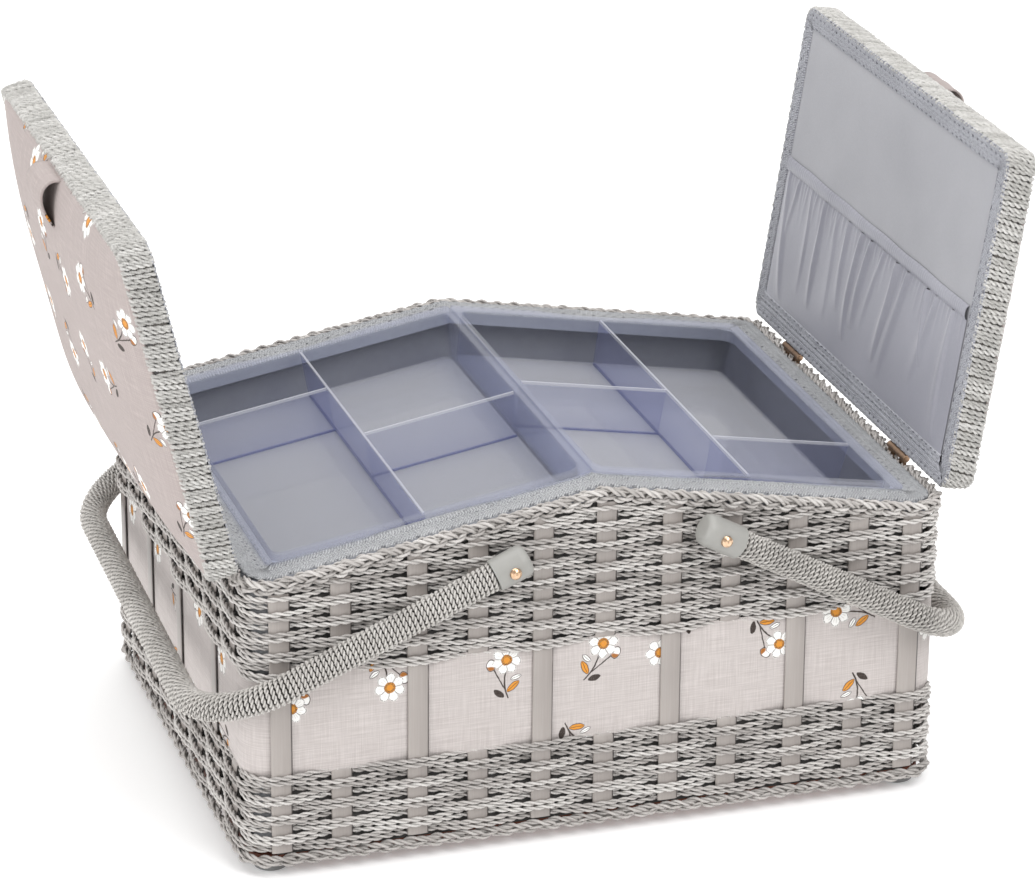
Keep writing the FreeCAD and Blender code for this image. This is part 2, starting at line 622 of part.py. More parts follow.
# recesses in the rim frame for the leaves and their screws
for sx, side in ((-1, "left"), (1, "right")):
    tools = []
    for j, sy in enumerate((-1, 1)):
        at = closed_place(side)
        t = doc.addObject("Part::Box", "leaf_recess_%s_%d" % (side, j))
        t.Label = t.Name
        for prop, e in (("Length", "leaf_long+2.2"), ("Width", "hinge_wide+0.4"), ("Height", "leaf_thick+1.2")):
            setattr(t, prop, val(e))
            bind(t, prop, e)
        t.Placement = at.multiply(Placement(Vector(-2, sy * V["hinge_at_y"] - V["hinge_wide"] / 2 - 0.2,
                                                   -V["leaf_drop"] - 0.05), Rotation()))
        tools.append(t)
        for q, ys in enumerate((-7, 7)):
            tools.append(part_cyl("leaf_screw_hole_%s_%d_%d" % (side, j, q), "hscrew_rad+0.04", "5.6",
                                  at.multiply(Placement(Vector(10, sy * V["hinge_at_y"] + ys, -V["leaf_drop"] - 4.8), Rotation()))))
    c = boolean("Part::Cut", "left_rim_frame" if sx < 0 else "right_rim_frame", frames[sx], group("frame_recess_" + side, tools))
    node(c)

# ------------------------------------------------------------------ lids
def lid_body(side, name):
    b = body_new("%s_%s" % (side, name))
    return b


def lid_rect(body, name, off, grow):
    """Rounded lid outline, grow is how far it is drawn in from the braided edge."""
    sk = sketch_new(body, name, "XY_Plane", off)
    rrect(sk, "lid_start+(%s)" % grow, "lid_reach-(%s)" % grow, "-(lid_half-(%s))" % grow, "lid_half-(%s)" % grow,
          "lid_corner-(%s)" % grow)
    return sk


for side in ("left", "right"):
    P = lid_place(side)
    n = side + "_lid_"

    # rail frame with recesses for the hinge leaves
    b = body_new(n + "frame")
    sk = lid_rect(b, n + "frame_outline", "lid_frame_low", "lid_braid_thick+0.05")
    rrect(sk, "lid_start+lid_frame_root", "lid_reach-lid_frame_wide", "-(lid_half-lid_frame_wide)", "lid_half-lid_frame_wide", "8")
    pad(b, sk, "lid_frame_high-lid_frame_low")
    sk = sketch_new(b, n + "frame_holes", "XY_Plane", "lid_frame_low")
    for sy in (-1, 1):
        for ys in (-7, 7):
            circle(sk, "10", "%d*hinge_at_y+(%d)" % (sy, ys), "hscrew_rad+0.04")
    cut(b, sk, "6.2", rev=True)
    b.Placement = P
    node(b)

    b = body_new(n + "board")
    pad(b, lid_rect(b, n + "board_outline", "lid_board_low", "lid_braid_thick+0.05"), "lid_board_high-lid_board_low")
    b.Placement = P
    node(b)

    b = body_new(n + "edge_braid")
    sk = lid_rect(b, n + "edge_outline", "lid_braid_low", "0")
    rrect(sk, "lid_start+lid_braid_thick", "lid_reach-lid_braid_thick", "-(lid_half-lid_braid_thick)", "lid_half-lid_braid_thick",
          "lid_corner-lid_braid_thick")
    pad(b, sk, "lid_braid_high-lid_braid_low")
    sk = sketch_new(b, n + "edge_notches", "XY_Plane", "lid_braid_low")
    rrect(sk, "lid_start-1", "lid_start+lid_braid_thick+1", "-hinge_at_y-hinge_wide/2-0.1", "-hinge_at_y+hinge_wide/2+0.1", "0.3")
    rrect(sk, "lid_start-1", "lid_start+lid_braid_thick+1", "hinge_at_y-hinge_wide/2-0.1", "hinge_at_y+hinge_wide/2+0.1", "0.3")
    cut(b, sk, "1.15", rev=True, name=n + "edge_notches_cut")
    b.Placement = P
    node(b)

    # padded cover: crowned wadding under a fabric skin
    crown = ((1.0, 0.0), (0.97, 0.177), (0.92, 0.365), (0.85, 0.554), (0.75, 0.738), (0.6, 0.895), (0.4, 0.979), (0.15, 1.0))

    def pillow(label, low, rise, draw, skirt="0"):
        """Cushion on the lid outline, crowned along both of its directions."""
        b = body_new(label)
        pad(b, lid_rect(b, label + "_outline", "(%s)-(%s)" % (low, skirt), draw), "(%s)+(%s)+3" % (rise, skirt))
        mid, halfx = "(lid_start+lid_reach)/2", "((lid_reach-lid_start)/2-(%s))" % draw
        halfy = "(lid_half-(%s))" % draw
        for role, centre, half in (("XZ_Plane", mid, halfx), ("YZ_Plane", "0", halfy)):
            sk = sketch_new(b, label + "_crown_" + role[:2], role)
            line = [("%s-%s*%g" % (centre, half, f), "(%s)+1.2+((%s)-1.2)*%g" % (low, rise, g)) for f, g in crown]
            line += [("%s+%s*%g" % (centre, half, f), "(%s)+1.2+((%s)-1.2)*%g" % (low, rise, g)) for f, g in reversed(crown)]
            line = [("%s-%s-5" % (centre, half), line[0][1])] + line + [("%s+%s+5" % (centre, half), line[-1][1])]
            line += [("%s+%s+5" % (centre, half), "(%s)+(%s)+20" % (low, rise)), ("%s-%s-5" % (centre, half), "(%s)+(%s)+20" % (low, rise))]
            poly(sk, line)
            cut(b, sk, "2*lid_half+260", mid=True, name=label + "_crown_cut_" + role[:2])
        return b

    skin = pillow(n + "skin", "cover_low", "cover_tall", "lid_braid_thick+0.1")
    core = pillow(n + "padding_core", "cover_low", "cover_tall-cover_thick", "lid_braid_thick+0.1+cover_thick", "3")
    wad = pillow(n + "padding", "cover_low+0.03", "cover_tall-cover_thick-0.06", "lid_braid_thick+0.15+cover_thick")
    c = boolean("Part::Cut", n + "cover", skin, core)
    c.Placement = P
    node(c)
    wad.Placement = P
    node(wad)

    # gimp round the inner face
    b = body_new(n + "inner_gimp")
    sk = sketch_new(b, n + "gimp_outline", "XY_Plane", "lid_gimp_low")
    rrect(sk, "lid_start+1.0", "lid_reach-0.8", "-(lid_half-0.8)", "lid_half-0.8", "lid_corner-0.8")
    rrect(sk, "lid_gimp_root", "lid_reach-0.8-lid_gimp_side", "-(lid_half-0.8-lid_gimp_side)", "lid_half-0.8-lid_gimp_side", "2")
    pad(b, sk, "lid_gimp_high-lid_gimp_low")
    b.Placement = P
    node(b)

    b = body_new(n + "lining")
    sk = sketch_new(b, n + "lining_outline", "XY_Plane", "0.03")
    rrect(sk, "lid_gimp_root+0.1", "lid_reach-0.9-lid_gimp_side", "-(lid_half-0.9-lid_gimp_side)", "lid_half-0.9-lid_gimp_side", "1.9")
    pad(b, sk, "lid_lining_thick")
    b.Placement = P
    node(b)

    b = body_new(n + "pocket")
    sk = sketch_new(b, n + "pocket_outline", "XY_Plane", "-0.05-pocket_thick")
    rrect(sk, "lid_gimp_root+0.3", "pocket_top", "-pocket_half", "pocket_half", "4")
    pad(b, sk, "pocket_thick")
    b.Placement = P
    node(b)

    b = body_new(n + "pocket_elastic")
    sk = sketch_new(b, n + "elastic_outline", "XY_Plane", "-0.05-elastic_thick")
    rrect(sk, "pocket_top+0.1", "pocket_top+0.1+elastic_wide", "-(pocket_half+1)", "pocket_half+1", "1")
    pad(b, sk, "elastic_thick")
    b.Placement = P
    node(b)

    # fabric pull tab, an arched loop at the middle of the free edge
    b = body_new(n + "tab_ring")
    sk = sketch_new(b, n + "tab_side", "XZ_Plane")
    circle(sk, "tab_along", "tab_out", "tab_rad")
    circle(sk, "tab_along", "tab_out", "tab_rad-tab_thick")
    pad(b, sk, "tab_wide", mid=True)
    solid_skin = pillow(n + "skin_clear", "cover_low+0.05", "cover_tall", "lid_braid_thick", "13")
    c = boolean("Part::Cut", n + "pull_tab", b, solid_skin)
    c.Placement = P
    node(c)

    # hinge leaves on the lid, with the middle knuckle
    leaves, lscrews = [], []
    for j, sy in enumerate((-1, 1)):
        b = body_new(n + "leaf_%d" % j)
        sk = sketch_new(b, n + "leaf_%d_plate" % j, "XY_Plane", "lid_frame_low-0.05-leaf_thick")
        poly(sk, [("barrel_rad+0.5", "-hinge_wide/2"), ("leaf_long", "-hinge_wide/2"), ("leaf_long", "hinge_wide/2"),
                  ("barrel_rad+0.5", "hinge_wide/2"), ("barrel_rad+0.5", "hinge_wide/6-0.1"), ("0.4", "hinge_wide/6-0.1"),
                  ("0.4", "-hinge_wide/6+0.1"), ("barrel_rad+0.5", "-hinge_wide/6+0.1")])
        pad(b, sk, "leaf_thick")
        sk = sketch_new(b, n + "leaf_%d_knuckle" % j, "XZ_Plane")
        circle(sk, "0", "0", "barrel_rad")
        pad(b, sk, "hinge_wide/3-0.2", mid=True, name=n + "leaf_%d_knuckle_pad" % j)
        sk = sketch_new(b, n + "leaf_%d_bore" % j, "XZ_Plane")
        circle(sk, "0", "0", "pin_rad+pin_run_gap")
        cut(b, sk, None, mid=True, name=n + "leaf_%d_bore_cut" % j)
        sk = sketch_new(b, n + "leaf_%d_holes" % j, "XY_Plane", "0")
        circle(sk, "10", "-7", "hscrew_rad+0.05")
        circle(sk, "10", "7", "hscrew_rad+0.05")
        cut(b, sk, "4", rev=True, name=n + "leaf_%d_holes_cut" % j)
        b.Placement = P.multiply(Placement(Vector(0, sy * V["hinge_at_y"], 0), Rotation()))
        leaves.append(b)
        for q, ys in enumerate((-7, 7)):
            lscrews.append(part_cyl(n + "hinge_screw_%d_%d" % (j, q), "hscrew_rad", "6.8",
                                    P.multiply(Placement(Vector(10, sy * V["hinge_at_y"] + ys, 1.0), Rotation()))))
    node(group(n + "hinge_leaves", leaves))
    node(group(n + "hinge_screws", lscrews))

# ------------------------------------------------------------------ trays
for side in ("left", "right"):
    P = tray_place(side)
    n = side + "_tray"
    b = body_new(n)
    sk = sketch_new(b, n + "_flange", "XY_Plane")
    rrect(sk, "tray_ridge_gap", "tray_reach", "-tray_half", "tray_half", "4")
    pad(b, sk, "tray_wall", rev=True)
    # shallow finger notches in the flange, front and back
    sk = sketch_new(b, n + "_notches", "XY_Plane")
    circle(sk, "notch_at", "tray_half-notch_deep+notch_rad", "notch_rad")
    circle(sk, "notch_at", "-(tray_half-notch_deep+notch_rad)", "notch_rad")
    cut(b, sk, "tray_wall+0.1", name=n + "_notches_cut")
    sk = sketch_new(b, n + "_body", "XY_Plane")
    rrect(sk, "tray_in_ridge-tray_wall", "tray_in_end+tray_wall", "-(tray_in_half+tray_wall)", "tray_in_half+tray_wall", "tray_in_corner+tray_wall")
    pad(b, sk, "tray_deep", rev=True, taper="-tray_draft", name=n + "_body_pad")
    sk = sketch_new(b, n + "_cavity", "XY_Plane")
    rrect(sk, "tray_in_ridge", "tray_in_end", "-tray_in_half", "tray_in_half", "tray_in_corner")
    cut(b, sk, "tray_deep-tray_wall", taper="-tray_draft", name=n + "_cavity_cut")
    b.Placement = P
    node(b)

    dv = []
    inset = "(tray_deep-tray_wall)*tray_draft_tan"
    low = "-(tray_deep-tray_wall)+0.05"
    b = body_new(n + "_long_divider")
    sk = sketch_new(b, n + "_long_divider_face", "YZ_Plane", "divider_at-divider_thick/2")
    poly(sk, [("-(tray_in_half-%s-0.1)" % inset, low), ("tray_in_half-%s-0.1" % inset, low),
              ("tray_in_half-0.15", "-divider_low_top"), ("-(tray_in_half-0.15)", "-divider_low_top")])
    pad(b, sk, "divider_thick")
    b.Placement = P
    dv.append(b)
    b = body_new(n + "_end_divider")
    sk = sketch_new(b, n + "_end_divider_face", "XZ_Plane")
    poly(sk, [("divider_at+divider_thick/2+0.05", low), ("tray_in_end-%s-0.1" % inset, low),
              ("tray_in_end-0.15", "-divider_low_top"), ("divider_at+divider_thick/2+0.05", "-divider_low_top")])
    pad(b, sk, "divider_thick", mid=True)
    b.Placement = P.multiply(Placement(Vector(0, V["cross_end_y"], 0), Rotation()))
    dv.append(b)
    b = body_new(n + "_ridge_divider")
    sk = sketch_new(b, n + "_ridge_divider_face", "XZ_Plane")
    poly(sk, [("tray_in_ridge+%s+0.1" % inset, low), ("divider_at-divider_thick/2-0.05", low),
              ("divider_at-divider_thick/2-0.05", "-divider_low_top"), ("tray_in_ridge+0.15", "-divider_low_top")])
    pad(b, sk, "divider_thick", mid=True)
    b.Placement = P.multiply(Placement(Vector(0, V["cross_ridge_y"], 0), Rotation()))
    dv.append(b)
    node(group(n + "_dividers", dv))

# ------------------------------------------------------------------ carrying handles
for side in ("left", "right"):
    P = handle_place(side)
    n = side + "_handle_"
    for kind in ("core", "wrap"):
        b = body_new(n + kind)
        start = "core_start" if kind == "core" else side + "_cap_front+0.1"
        path = sketch_new(b, n + kind + "_path", "XY_Plane")
        # corner at -leg_y first; the left bail is turned half round, so that corner is its back one
        low, high = ("back", "front") if side == "left" else ("front", "back")
        s0, ly = val(start), V["leg_y"]
        ra, rz = V["%s_reach_%s" % (side, low)], V["%s_reach_%s" % (side, high)]
        ba, bz = V["%s_bend_%s" % (side, low)], V["%s_bend_%s" % (side, high)]
        lie = math.atan2(2 * ly, rz - ra)
        ux, uy = math.cos(lie), math.sin(lie)
        ta, tz = ba * math.tan(lie / 2), bz * math.tan((math.pi - lie) / 2)
        Ls, Up = Part.LineSegment, Vector(0, 0, 1)
        path.addGeometry(Ls(Vector(s0, -ly, 0), Vector(ra - ta, -ly, 0)), False)
        path.addGeometry(Part.ArcOfCircle(Part.Circle(Vector(ra - ta, -ly + ba, 0), Up, ba), 1.5 * math.pi, 1.5 * math.pi + lie), False)
        path.addGeometry(Ls(Vector(ra + ta * ux, -ly + ta * uy, 0), Vector(rz - tz * ux, ly - tz * uy, 0)), False)
        path.addGeometry(Part.ArcOfCircle(Part.Circle(Vector(rz - tz, ly - bz, 0), Up, bz), lie - math.pi / 2, math.pi / 2), False)
        path.addGeometry(Ls(Vector(rz - tz, ly, 0), Vector(s0, ly, 0)), False)
        C = Sketcher.Constraint
        for args in ((0, 2, 1, 1), (1, 2, 2, 1), (2, 2, 3, 1), (3, 2, 4, 1)):
            path.addConstraint(C("Tangent", *args))
        path.addConstraint(C("Horizontal", 0))
        path.addConstraint(C("Horizontal", 4))
        dim(path, "Radius", (1,), "%s_bend_%s" % (side, low))
        dim(path, "Radius", (3,), "%s_bend_%s" % (side, high))
        dim(path, "DistanceX", (-1, 1, 0, 1), start)
        dim(path, "DistanceY", (-1, 1, 0, 1), "-leg_y")
        dim(path, "DistanceX", (-1, 1, 4, 2), start)
        dim(path, "DistanceY", (-1, 1, 4, 2), "leg_y")
        # the crossbar aims at the two corners where it would meet the legs
        for vx, vy, reach, sgn in ((ra, -ly, low, "-"), (rz, ly, high, "")):
            g = path.addGeometry(Part.Point(Vector(vx, vy, 0)), True)
            path.addConstraint(C("PointOnObject", g, 1, 2))
            dim(path, "DistanceX", (-1, 1, g, 1), "%s_reach_%s" % (side, reach))
            dim(path, "DistanceY", (-1, 1, g, 1), sgn + "leg_y")
        prof = sketch_new(b, n + kind + "_section", "YZ_Plane", start)
        if kind == "core":
            circle(prof, "-leg_y", "0", "core_rad")
        else:
            circle(prof, "-leg_y", "0", "wrap_rad")
            circle(prof, "-leg_y", "0", "core_rad+0.05")
        doc.recompute()
        pipe = b.newObject("PartDesign::AdditivePipe", n + kind + "_pipe")
        pipe.Profile = prof
        pipe.Spine = (path, ["Edge%d" % i for i in range(1, 6)])
        pipe.Mode = "Standard"
        b.Placement = P
        node(b)
    caps = []
    for j, sy in enumerate((-1, 1)):
        b = body_new(n + "cap_%d" % j)
        sk = sketch_new(b, n + "cap_%d_half" % j, "XZ_Plane")
        # turned profile about the leg's own axis
        cb, cf = "-%s_cap_back" % side, "%s_cap_front" % side
        poly(sk, [(cb, "0"), (cb, "cap_rad-3.1"), (cb + "+0.5", "cap_rad-1.9"), (cb + "+1.4", "cap_rad-0.85"),
                  (cb + "+2.8", "cap_rad-0.2"), (cb + "+4.4", "cap_rad"), (cf + "-0.6", "cap_rad"), (cf, "cap_rad-0.35"),
                  (cf, "core_rad+0.05"), ("core_start-0.1", "core_rad+0.05"), ("core_start-0.1", "0")])
        r = b.newObject("PartDesign::Revolution", n + "cap_%d_turned" % j)
        r.Profile = sk
        r.ReferenceAxis = (sk, ["H_Axis"])
        r.Angle = 360
        sk = sketch_new(b, n + "cap_%d_bore" % j, "XZ_Plane")
        circle(sk, "0", "0", "rivet_rad+rivet_run_gap")
        cut(b, sk, None, mid=True, name=n + "cap_%d_bore_cut" % j)
        b.Placement = P.multiply(Placement(Vector(0, sy * V["leg_y"], 0), Rotation()))
        caps.append(b)
    node(group(n + "end_caps", caps))

# rivets through the handle ends, with washers against the weave
rivets, washers, holes = [], [], []
for sx, side in ((-1, "left"), (1, "right")):
    for sy in (-1, 1):
        tag = "%d%d" % (sx + 1, sy + 1)
        px, pz = sx * V[side + "_pivot_x"], V[side + "_pivot_z"]
        b = body_new("rivet_" + tag)
        sk = sketch_new(b, "rivet_%s_half" % tag, "XY_Plane")
        tip = "(leg_y+cap_rad+0.12)"
        poly(sk, [("0", "%s-0.2-wall_thick+0.1" % IY), ("rivet_rad", "%s-0.2-wall_thick+0.1" % IY), ("rivet_rad", tip), ("rivet_head", tip),
                  ("rivet_head-0.35", tip + "+1.1"), ("rivet_head-1.5", tip + "+2.1"), ("0", tip + "+2.5")])
        r = b.newObject("PartDesign::Revolution", "rivet_%s_turned" % tag)
        r.Profile = sk
        r.ReferenceAxis = (sk, ["V_Axis"])
        r.Angle = 360
        rot = Rotation() if sy > 0 else TURN
        b.Placement = Placement(Vector(px, 0, pz), rot)
        bind(b, "Placement.Base.x", "%d*%s_pivot_x" % (sx, side))
        bind(b, "Placement.Base.z", "%s_pivot_z" % side)
        rivets.append(b)
        wy = "-(%s)-0.03-washer_thick" % HY if sy < 0 else "(%s)+0.03" % HY
        b = body_new("washer_" + tag)
        sk = sketch_new(b, "washer_%s_face" % tag, "XZ_Plane")
        circle(sk, "0", "0", "washer_rad")
        circle(sk, "0", "0", "rivet_rad+0.02")
        pad(b, sk, "washer_thick", rev=True)
        b.Placement = Placement(Vector(px, val(wy), pz), Rotation())
        washers.append(b)
        holes.append(part_cyl("rivet_hole_" + tag, "rivet_rad+0.02", "14",
                              Placement(Vector(px, sy * (V["box_wid"] / 2 + 1), pz),
                                        Rotation(Vector(1, 0, 0), 90 if sy > 0 else -90))))
node(group("handle_rivets", rivets))
node(group("rivet_washers", washers))
hole_group = group("rivet_holes", holes)


def drilled(old, label):
    """Swap a finished node for the same node with the rivet holes drilled."""
    i = NODES.index(old)
    old.Label = label + "_blank"
    c = boolean("Part::Cut", label, old, group("drill_" + label, holes))
    NODES[i] = c
    return c


drilled([o for o in NODES if o.Label == "upper_weave_solid"][0], "upper_weave")
for lab in ("front_wall_board", "back_wall_board"):
    old = [o for o in NODES if o.Label == lab][0]
    i = NODES.index(old)
    old.Label = lab + "_blank"
    c = doc.addObject("Part::Cut", lab + "_drilled")
    c.Label = lab
    c.Base = old
    c.Tool = group("drill_" + lab, holes)
    NODES[i] = c

# ------------------------------------------------------------------ check and write
doc.recompute()
bad = []
for o in doc.Objects:
    if any(s in ("Invalid", "Error") for s in o.State):
        bad.append((o.Label, o.State))
for o in NODES:
    s = o.Shape
    if s.isNull() or not s.isValid() or not s.Solids:
        bad.append((o.Label, "shape"))
labels = [o.Label for o in NODES]
if len(set(labels)) != len(labels):
    bad.append(("labels", sorted(l for l in labels if labels.count(l) > 1)))
if bad:
    raise RuntimeError("objects failed: %s" % bad)

os.makedirs("parts", exist_ok=True)
for o in NODES:
    o.Shape.exportStep("parts/%s.step" % o.Label)
print(len(NODES), "nodes written")
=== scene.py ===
import bpy
import math
import numpy as np
from mathutils import Matrix, Vector


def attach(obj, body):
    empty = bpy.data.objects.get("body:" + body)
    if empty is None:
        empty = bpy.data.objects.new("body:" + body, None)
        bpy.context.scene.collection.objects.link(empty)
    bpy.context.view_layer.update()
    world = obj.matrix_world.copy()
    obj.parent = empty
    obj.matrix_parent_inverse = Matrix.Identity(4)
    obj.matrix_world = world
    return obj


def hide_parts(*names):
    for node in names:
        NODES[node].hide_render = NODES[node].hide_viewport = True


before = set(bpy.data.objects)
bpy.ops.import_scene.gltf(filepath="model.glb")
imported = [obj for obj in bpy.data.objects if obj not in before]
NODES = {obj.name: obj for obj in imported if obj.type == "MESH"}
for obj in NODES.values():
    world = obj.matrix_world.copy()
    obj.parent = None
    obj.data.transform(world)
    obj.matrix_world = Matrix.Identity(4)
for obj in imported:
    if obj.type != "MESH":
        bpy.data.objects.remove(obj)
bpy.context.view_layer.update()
scene = bpy.context.scene
rng = np.random.default_rng(51)
PI, TAU = math.pi, 2 * math.pi


def lin(r, g, b):
    """sRGB 0..255 to linear."""
    out = []
    for c in (r, g, b):
        c = c / 255.0
        out.append(c / 12.92 if c <= 0.04045 else ((c + 0.055) / 1.055) ** 2.4)
    return (*out, 1.0)


# ---------------------------------------------------------------- camera
AZ, EL, ROLL = math.radians(-17.877), math.radians(22.055), math.radians(0.404)
back = Vector((math.sin(AZ) * math.cos(EL), -math.cos(AZ) * math.cos(EL), math.sin(EL)))
right = Vector((math.cos(AZ), math.sin(AZ), 0))
up = back.cross(right)
r2 = math.cos(ROLL) * right + math.sin(ROLL) * up
u2 = -math.sin(ROLL) * right + math.cos(ROLL) * up
cam_data = bpy.data.cameras.new("camera")
cam_data.sensor_fit = "HORIZONTAL"
cam_data.sensor_width = 36.0
cam_data.lens = 4405.35 / 1035.0 * 36.0
cam_data.clip_start, cam_data.clip_end = 0.05, 60
cam = bpy.data.objects.new("camera", cam_data)
m = Matrix((r2, u2, back)).transposed().to_4x4()
m.translation = Vector((0.513, 0.0, 171.35)) * 0.001 + back * 2.47665
cam.matrix_world = m
scene.collection.objects.link(cam)
scene.camera = cam


# ---------------------------------------------------------------- shader building
class S:
    """A value in a node tree, with arithmetic."""

    def __init__(self, g, s):
        self.g, self.s = g, s

    def _m(self, op, *others, clamp=False):
        n = self.g.t.nodes.new("ShaderNodeMath")
        n.operation = op
        n.use_clamp = clamp
        for i, o in enumerate((self, *others)):
            self.g.put(n.inputs[i], o)
        return S(self.g, n.outputs[0])

    def __add__(self, o): return self._m("ADD", o)
    __radd__ = __add__
    def __sub__(self, o): return self._m("SUBTRACT", o)
    def __rsub__(self, o): return self.g.num(o)._m("SUBTRACT", self)
    def __mul__(self, o): return self._m("MULTIPLY", o)
    __rmul__ = __mul__
    def __truediv__(self, o): return self._m("DIVIDE", o)
    def __neg__(self): return self._m("MULTIPLY", -1.0)
    def abs(self): return self._m("ABSOLUTE")
    def sin(self): return self._m("SINE")
    def cos(self): return self._m("COSINE")
    def sqrt(self): return self._m("SQRT")
    def pow(self, o): return self._m("POWER", o)
    def min(self, o): return self._m("MINIMUM", o)
    def max(self, o): return self._m("MAXIMUM", o)
    def atan2(self, o): return self._m("ARCTAN2", o)
    def frac(self): return self._m("FRACT")
    def clamp(self): return self._m("ADD", 0.0, clamp=True)
    def below(self, edge, soft): return ((edge - self) / soft + 0.5).clamp()
    def above(self, edge, soft): return ((self - edge) / soft + 0.5).clamp()


class Mat:
    def __init__(self, name):
        self.m = bpy.data.materials.new(name)
        self.m.use_nodes = True
        self.t = self.m.node_tree
        self.bsdf = self.t.nodes["Principled BSDF"]
        self.out = self.t.nodes["Material Output"]

    def put(self, socket, v):
        if isinstance(v, S):
            self.t.links.new(v.s, socket)
        elif isinstance(v, bpy.types.NodeSocket):
            self.t.links.new(v, socket)
        else:
            socket.default_value = v

    def num(self, v):
        if isinstance(v, S):
            return v
        n = self.t.nodes.new("ShaderNodeValue")
        n.outputs[0].default_value = v
        return S(self, n.outputs[0])

    def uv(self):
        n = self.t.nodes.new("ShaderNodeUVMap")
        n.uv_map = "UVMap"
        return n.outputs[0]

    def coord(self, kind="Object"):
        return self.t.nodes.new("ShaderNodeTexCoord").outputs[kind]

    def attr(self, name):
        n = self.t.nodes.new("ShaderNodeAttribute")
        n.attribute_name = name
        return S(self, n.outputs["Fac"])

    def xyz(self, vec):
        n = self.t.nodes.new("ShaderNodeSeparateXYZ")
        self.put(n.inputs[0], vec)
        return [S(self, o) for o in n.outputs]

    def vec(self, x, y=0.0, z=0.0):
        n = self.t.nodes.new("ShaderNodeCombineXYZ")
        for i, v in enumerate((x, y, z)):
            self.put(n.inputs[i], v)
        return n.outputs[0]

    def scale(self, vec, s):
        n = self.t.nodes.new("ShaderNodeVectorMath")
        n.operation = "MULTIPLY"
        self.put(n.inputs[0], vec)
        n.inputs[1].default_value = s
        return n.outputs[0]

    def noise(self, vec, scale, detail=2.0, rough=0.5, distort=0.0):
        n = self.t.nodes.new("ShaderNodeTexNoise")
        self.put(n.inputs["Vector"], vec)
        n.inputs["Scale"].default_value = scale
        n.inputs["Detail"].default_value = detail
        n.inputs["Roughness"].default_value = rough
        n.inputs["Distortion"].default_value = distort
        return S(self, n.outputs["Fac"])

    def mix(self, fac, a, b, mode="MIX"):
        n = self.t.nodes.new("ShaderNodeMix")
        n.data_type = "RGBA"
        n.blend_type = mode
        self.put(n.inputs[0], fac)
        self.put(n.inputs[6], a)
        self.put(n.inputs[7], b)
        return n.outputs[2]

    def ramp(self, fac, stops):
        n = self.t.nodes.new("ShaderNodeValToRGB")
        self.put(n.inputs[0], fac)
        el = n.color_ramp.elements
        while len(el) < len(stops):
            el.new(0.5)
        for e, (p, c) in zip(el, stops):
            e.position, e.color = p, c
        return n.outputs[0]

    def bump(self, height, dist, strength=1.0, normal=None):
        n = self.t.nodes.new("ShaderNodeBump")
        self.put(n.inputs["Height"], height)
        n.inputs["Distance"].default_value = dist
        n.inputs["Strength"].default_value = strength
        if normal is not None:
            self.put(n.inputs["Normal"], normal)
        return n.outputs[0]

    def set(self, **kw):
        for k, v in kw.items():
            self.put(self.bsdf.inputs[k.replace("_", " ")], v)
        return self


def cord_material(name, dark, mid, light, rough=0.62, fibre=1.0, crease_shade=0.55):
    """Twisted paper cord: fibre streaks run along each ply, tone changes from cord to cord, painted shade darkens the
    crease between the plies.
    """
    g = Mat(name)
    u, v, _ = g.xyz(g.uv())
    streak = g.noise(g.vec(u * 90.0, v * 7.0), 1.0, 3.0, 0.6)
    patch = g.noise(g.coord(), 38.0, 2.0)
    tone = g.attr("tone")
    f = (streak * 0.62 + patch * 0.38 + (tone - 0.5) * 0.34 - 0.02).clamp()
    col = g.ramp(f, [(0.2, dark), (0.5, mid), (0.78, light)])
    # painted shade: where a ply faces into the other ply, the colour is mixed toward a much darker copy of the dark
    # colour, by crease_shade
    inner = g.attr("inner")
    col = g.mix(inner * crease_shade, col, (dark[0] * 0.35, dark[1] * 0.34, dark[2] * 0.33, 1), "MIX")
    fine = g.noise(g.vec(u * 60.0, v * 16.0), 1.0, 2.0, 0.6)
    g.set(Base_Color=col, Roughness=rough, Normal=g.bump(streak * 0.7 + fine * 0.3, 0.0005 * fibre, 0.9))
    g.bsdf.inputs["Specular IOR Level"].default_value = 0.42
    return g.m


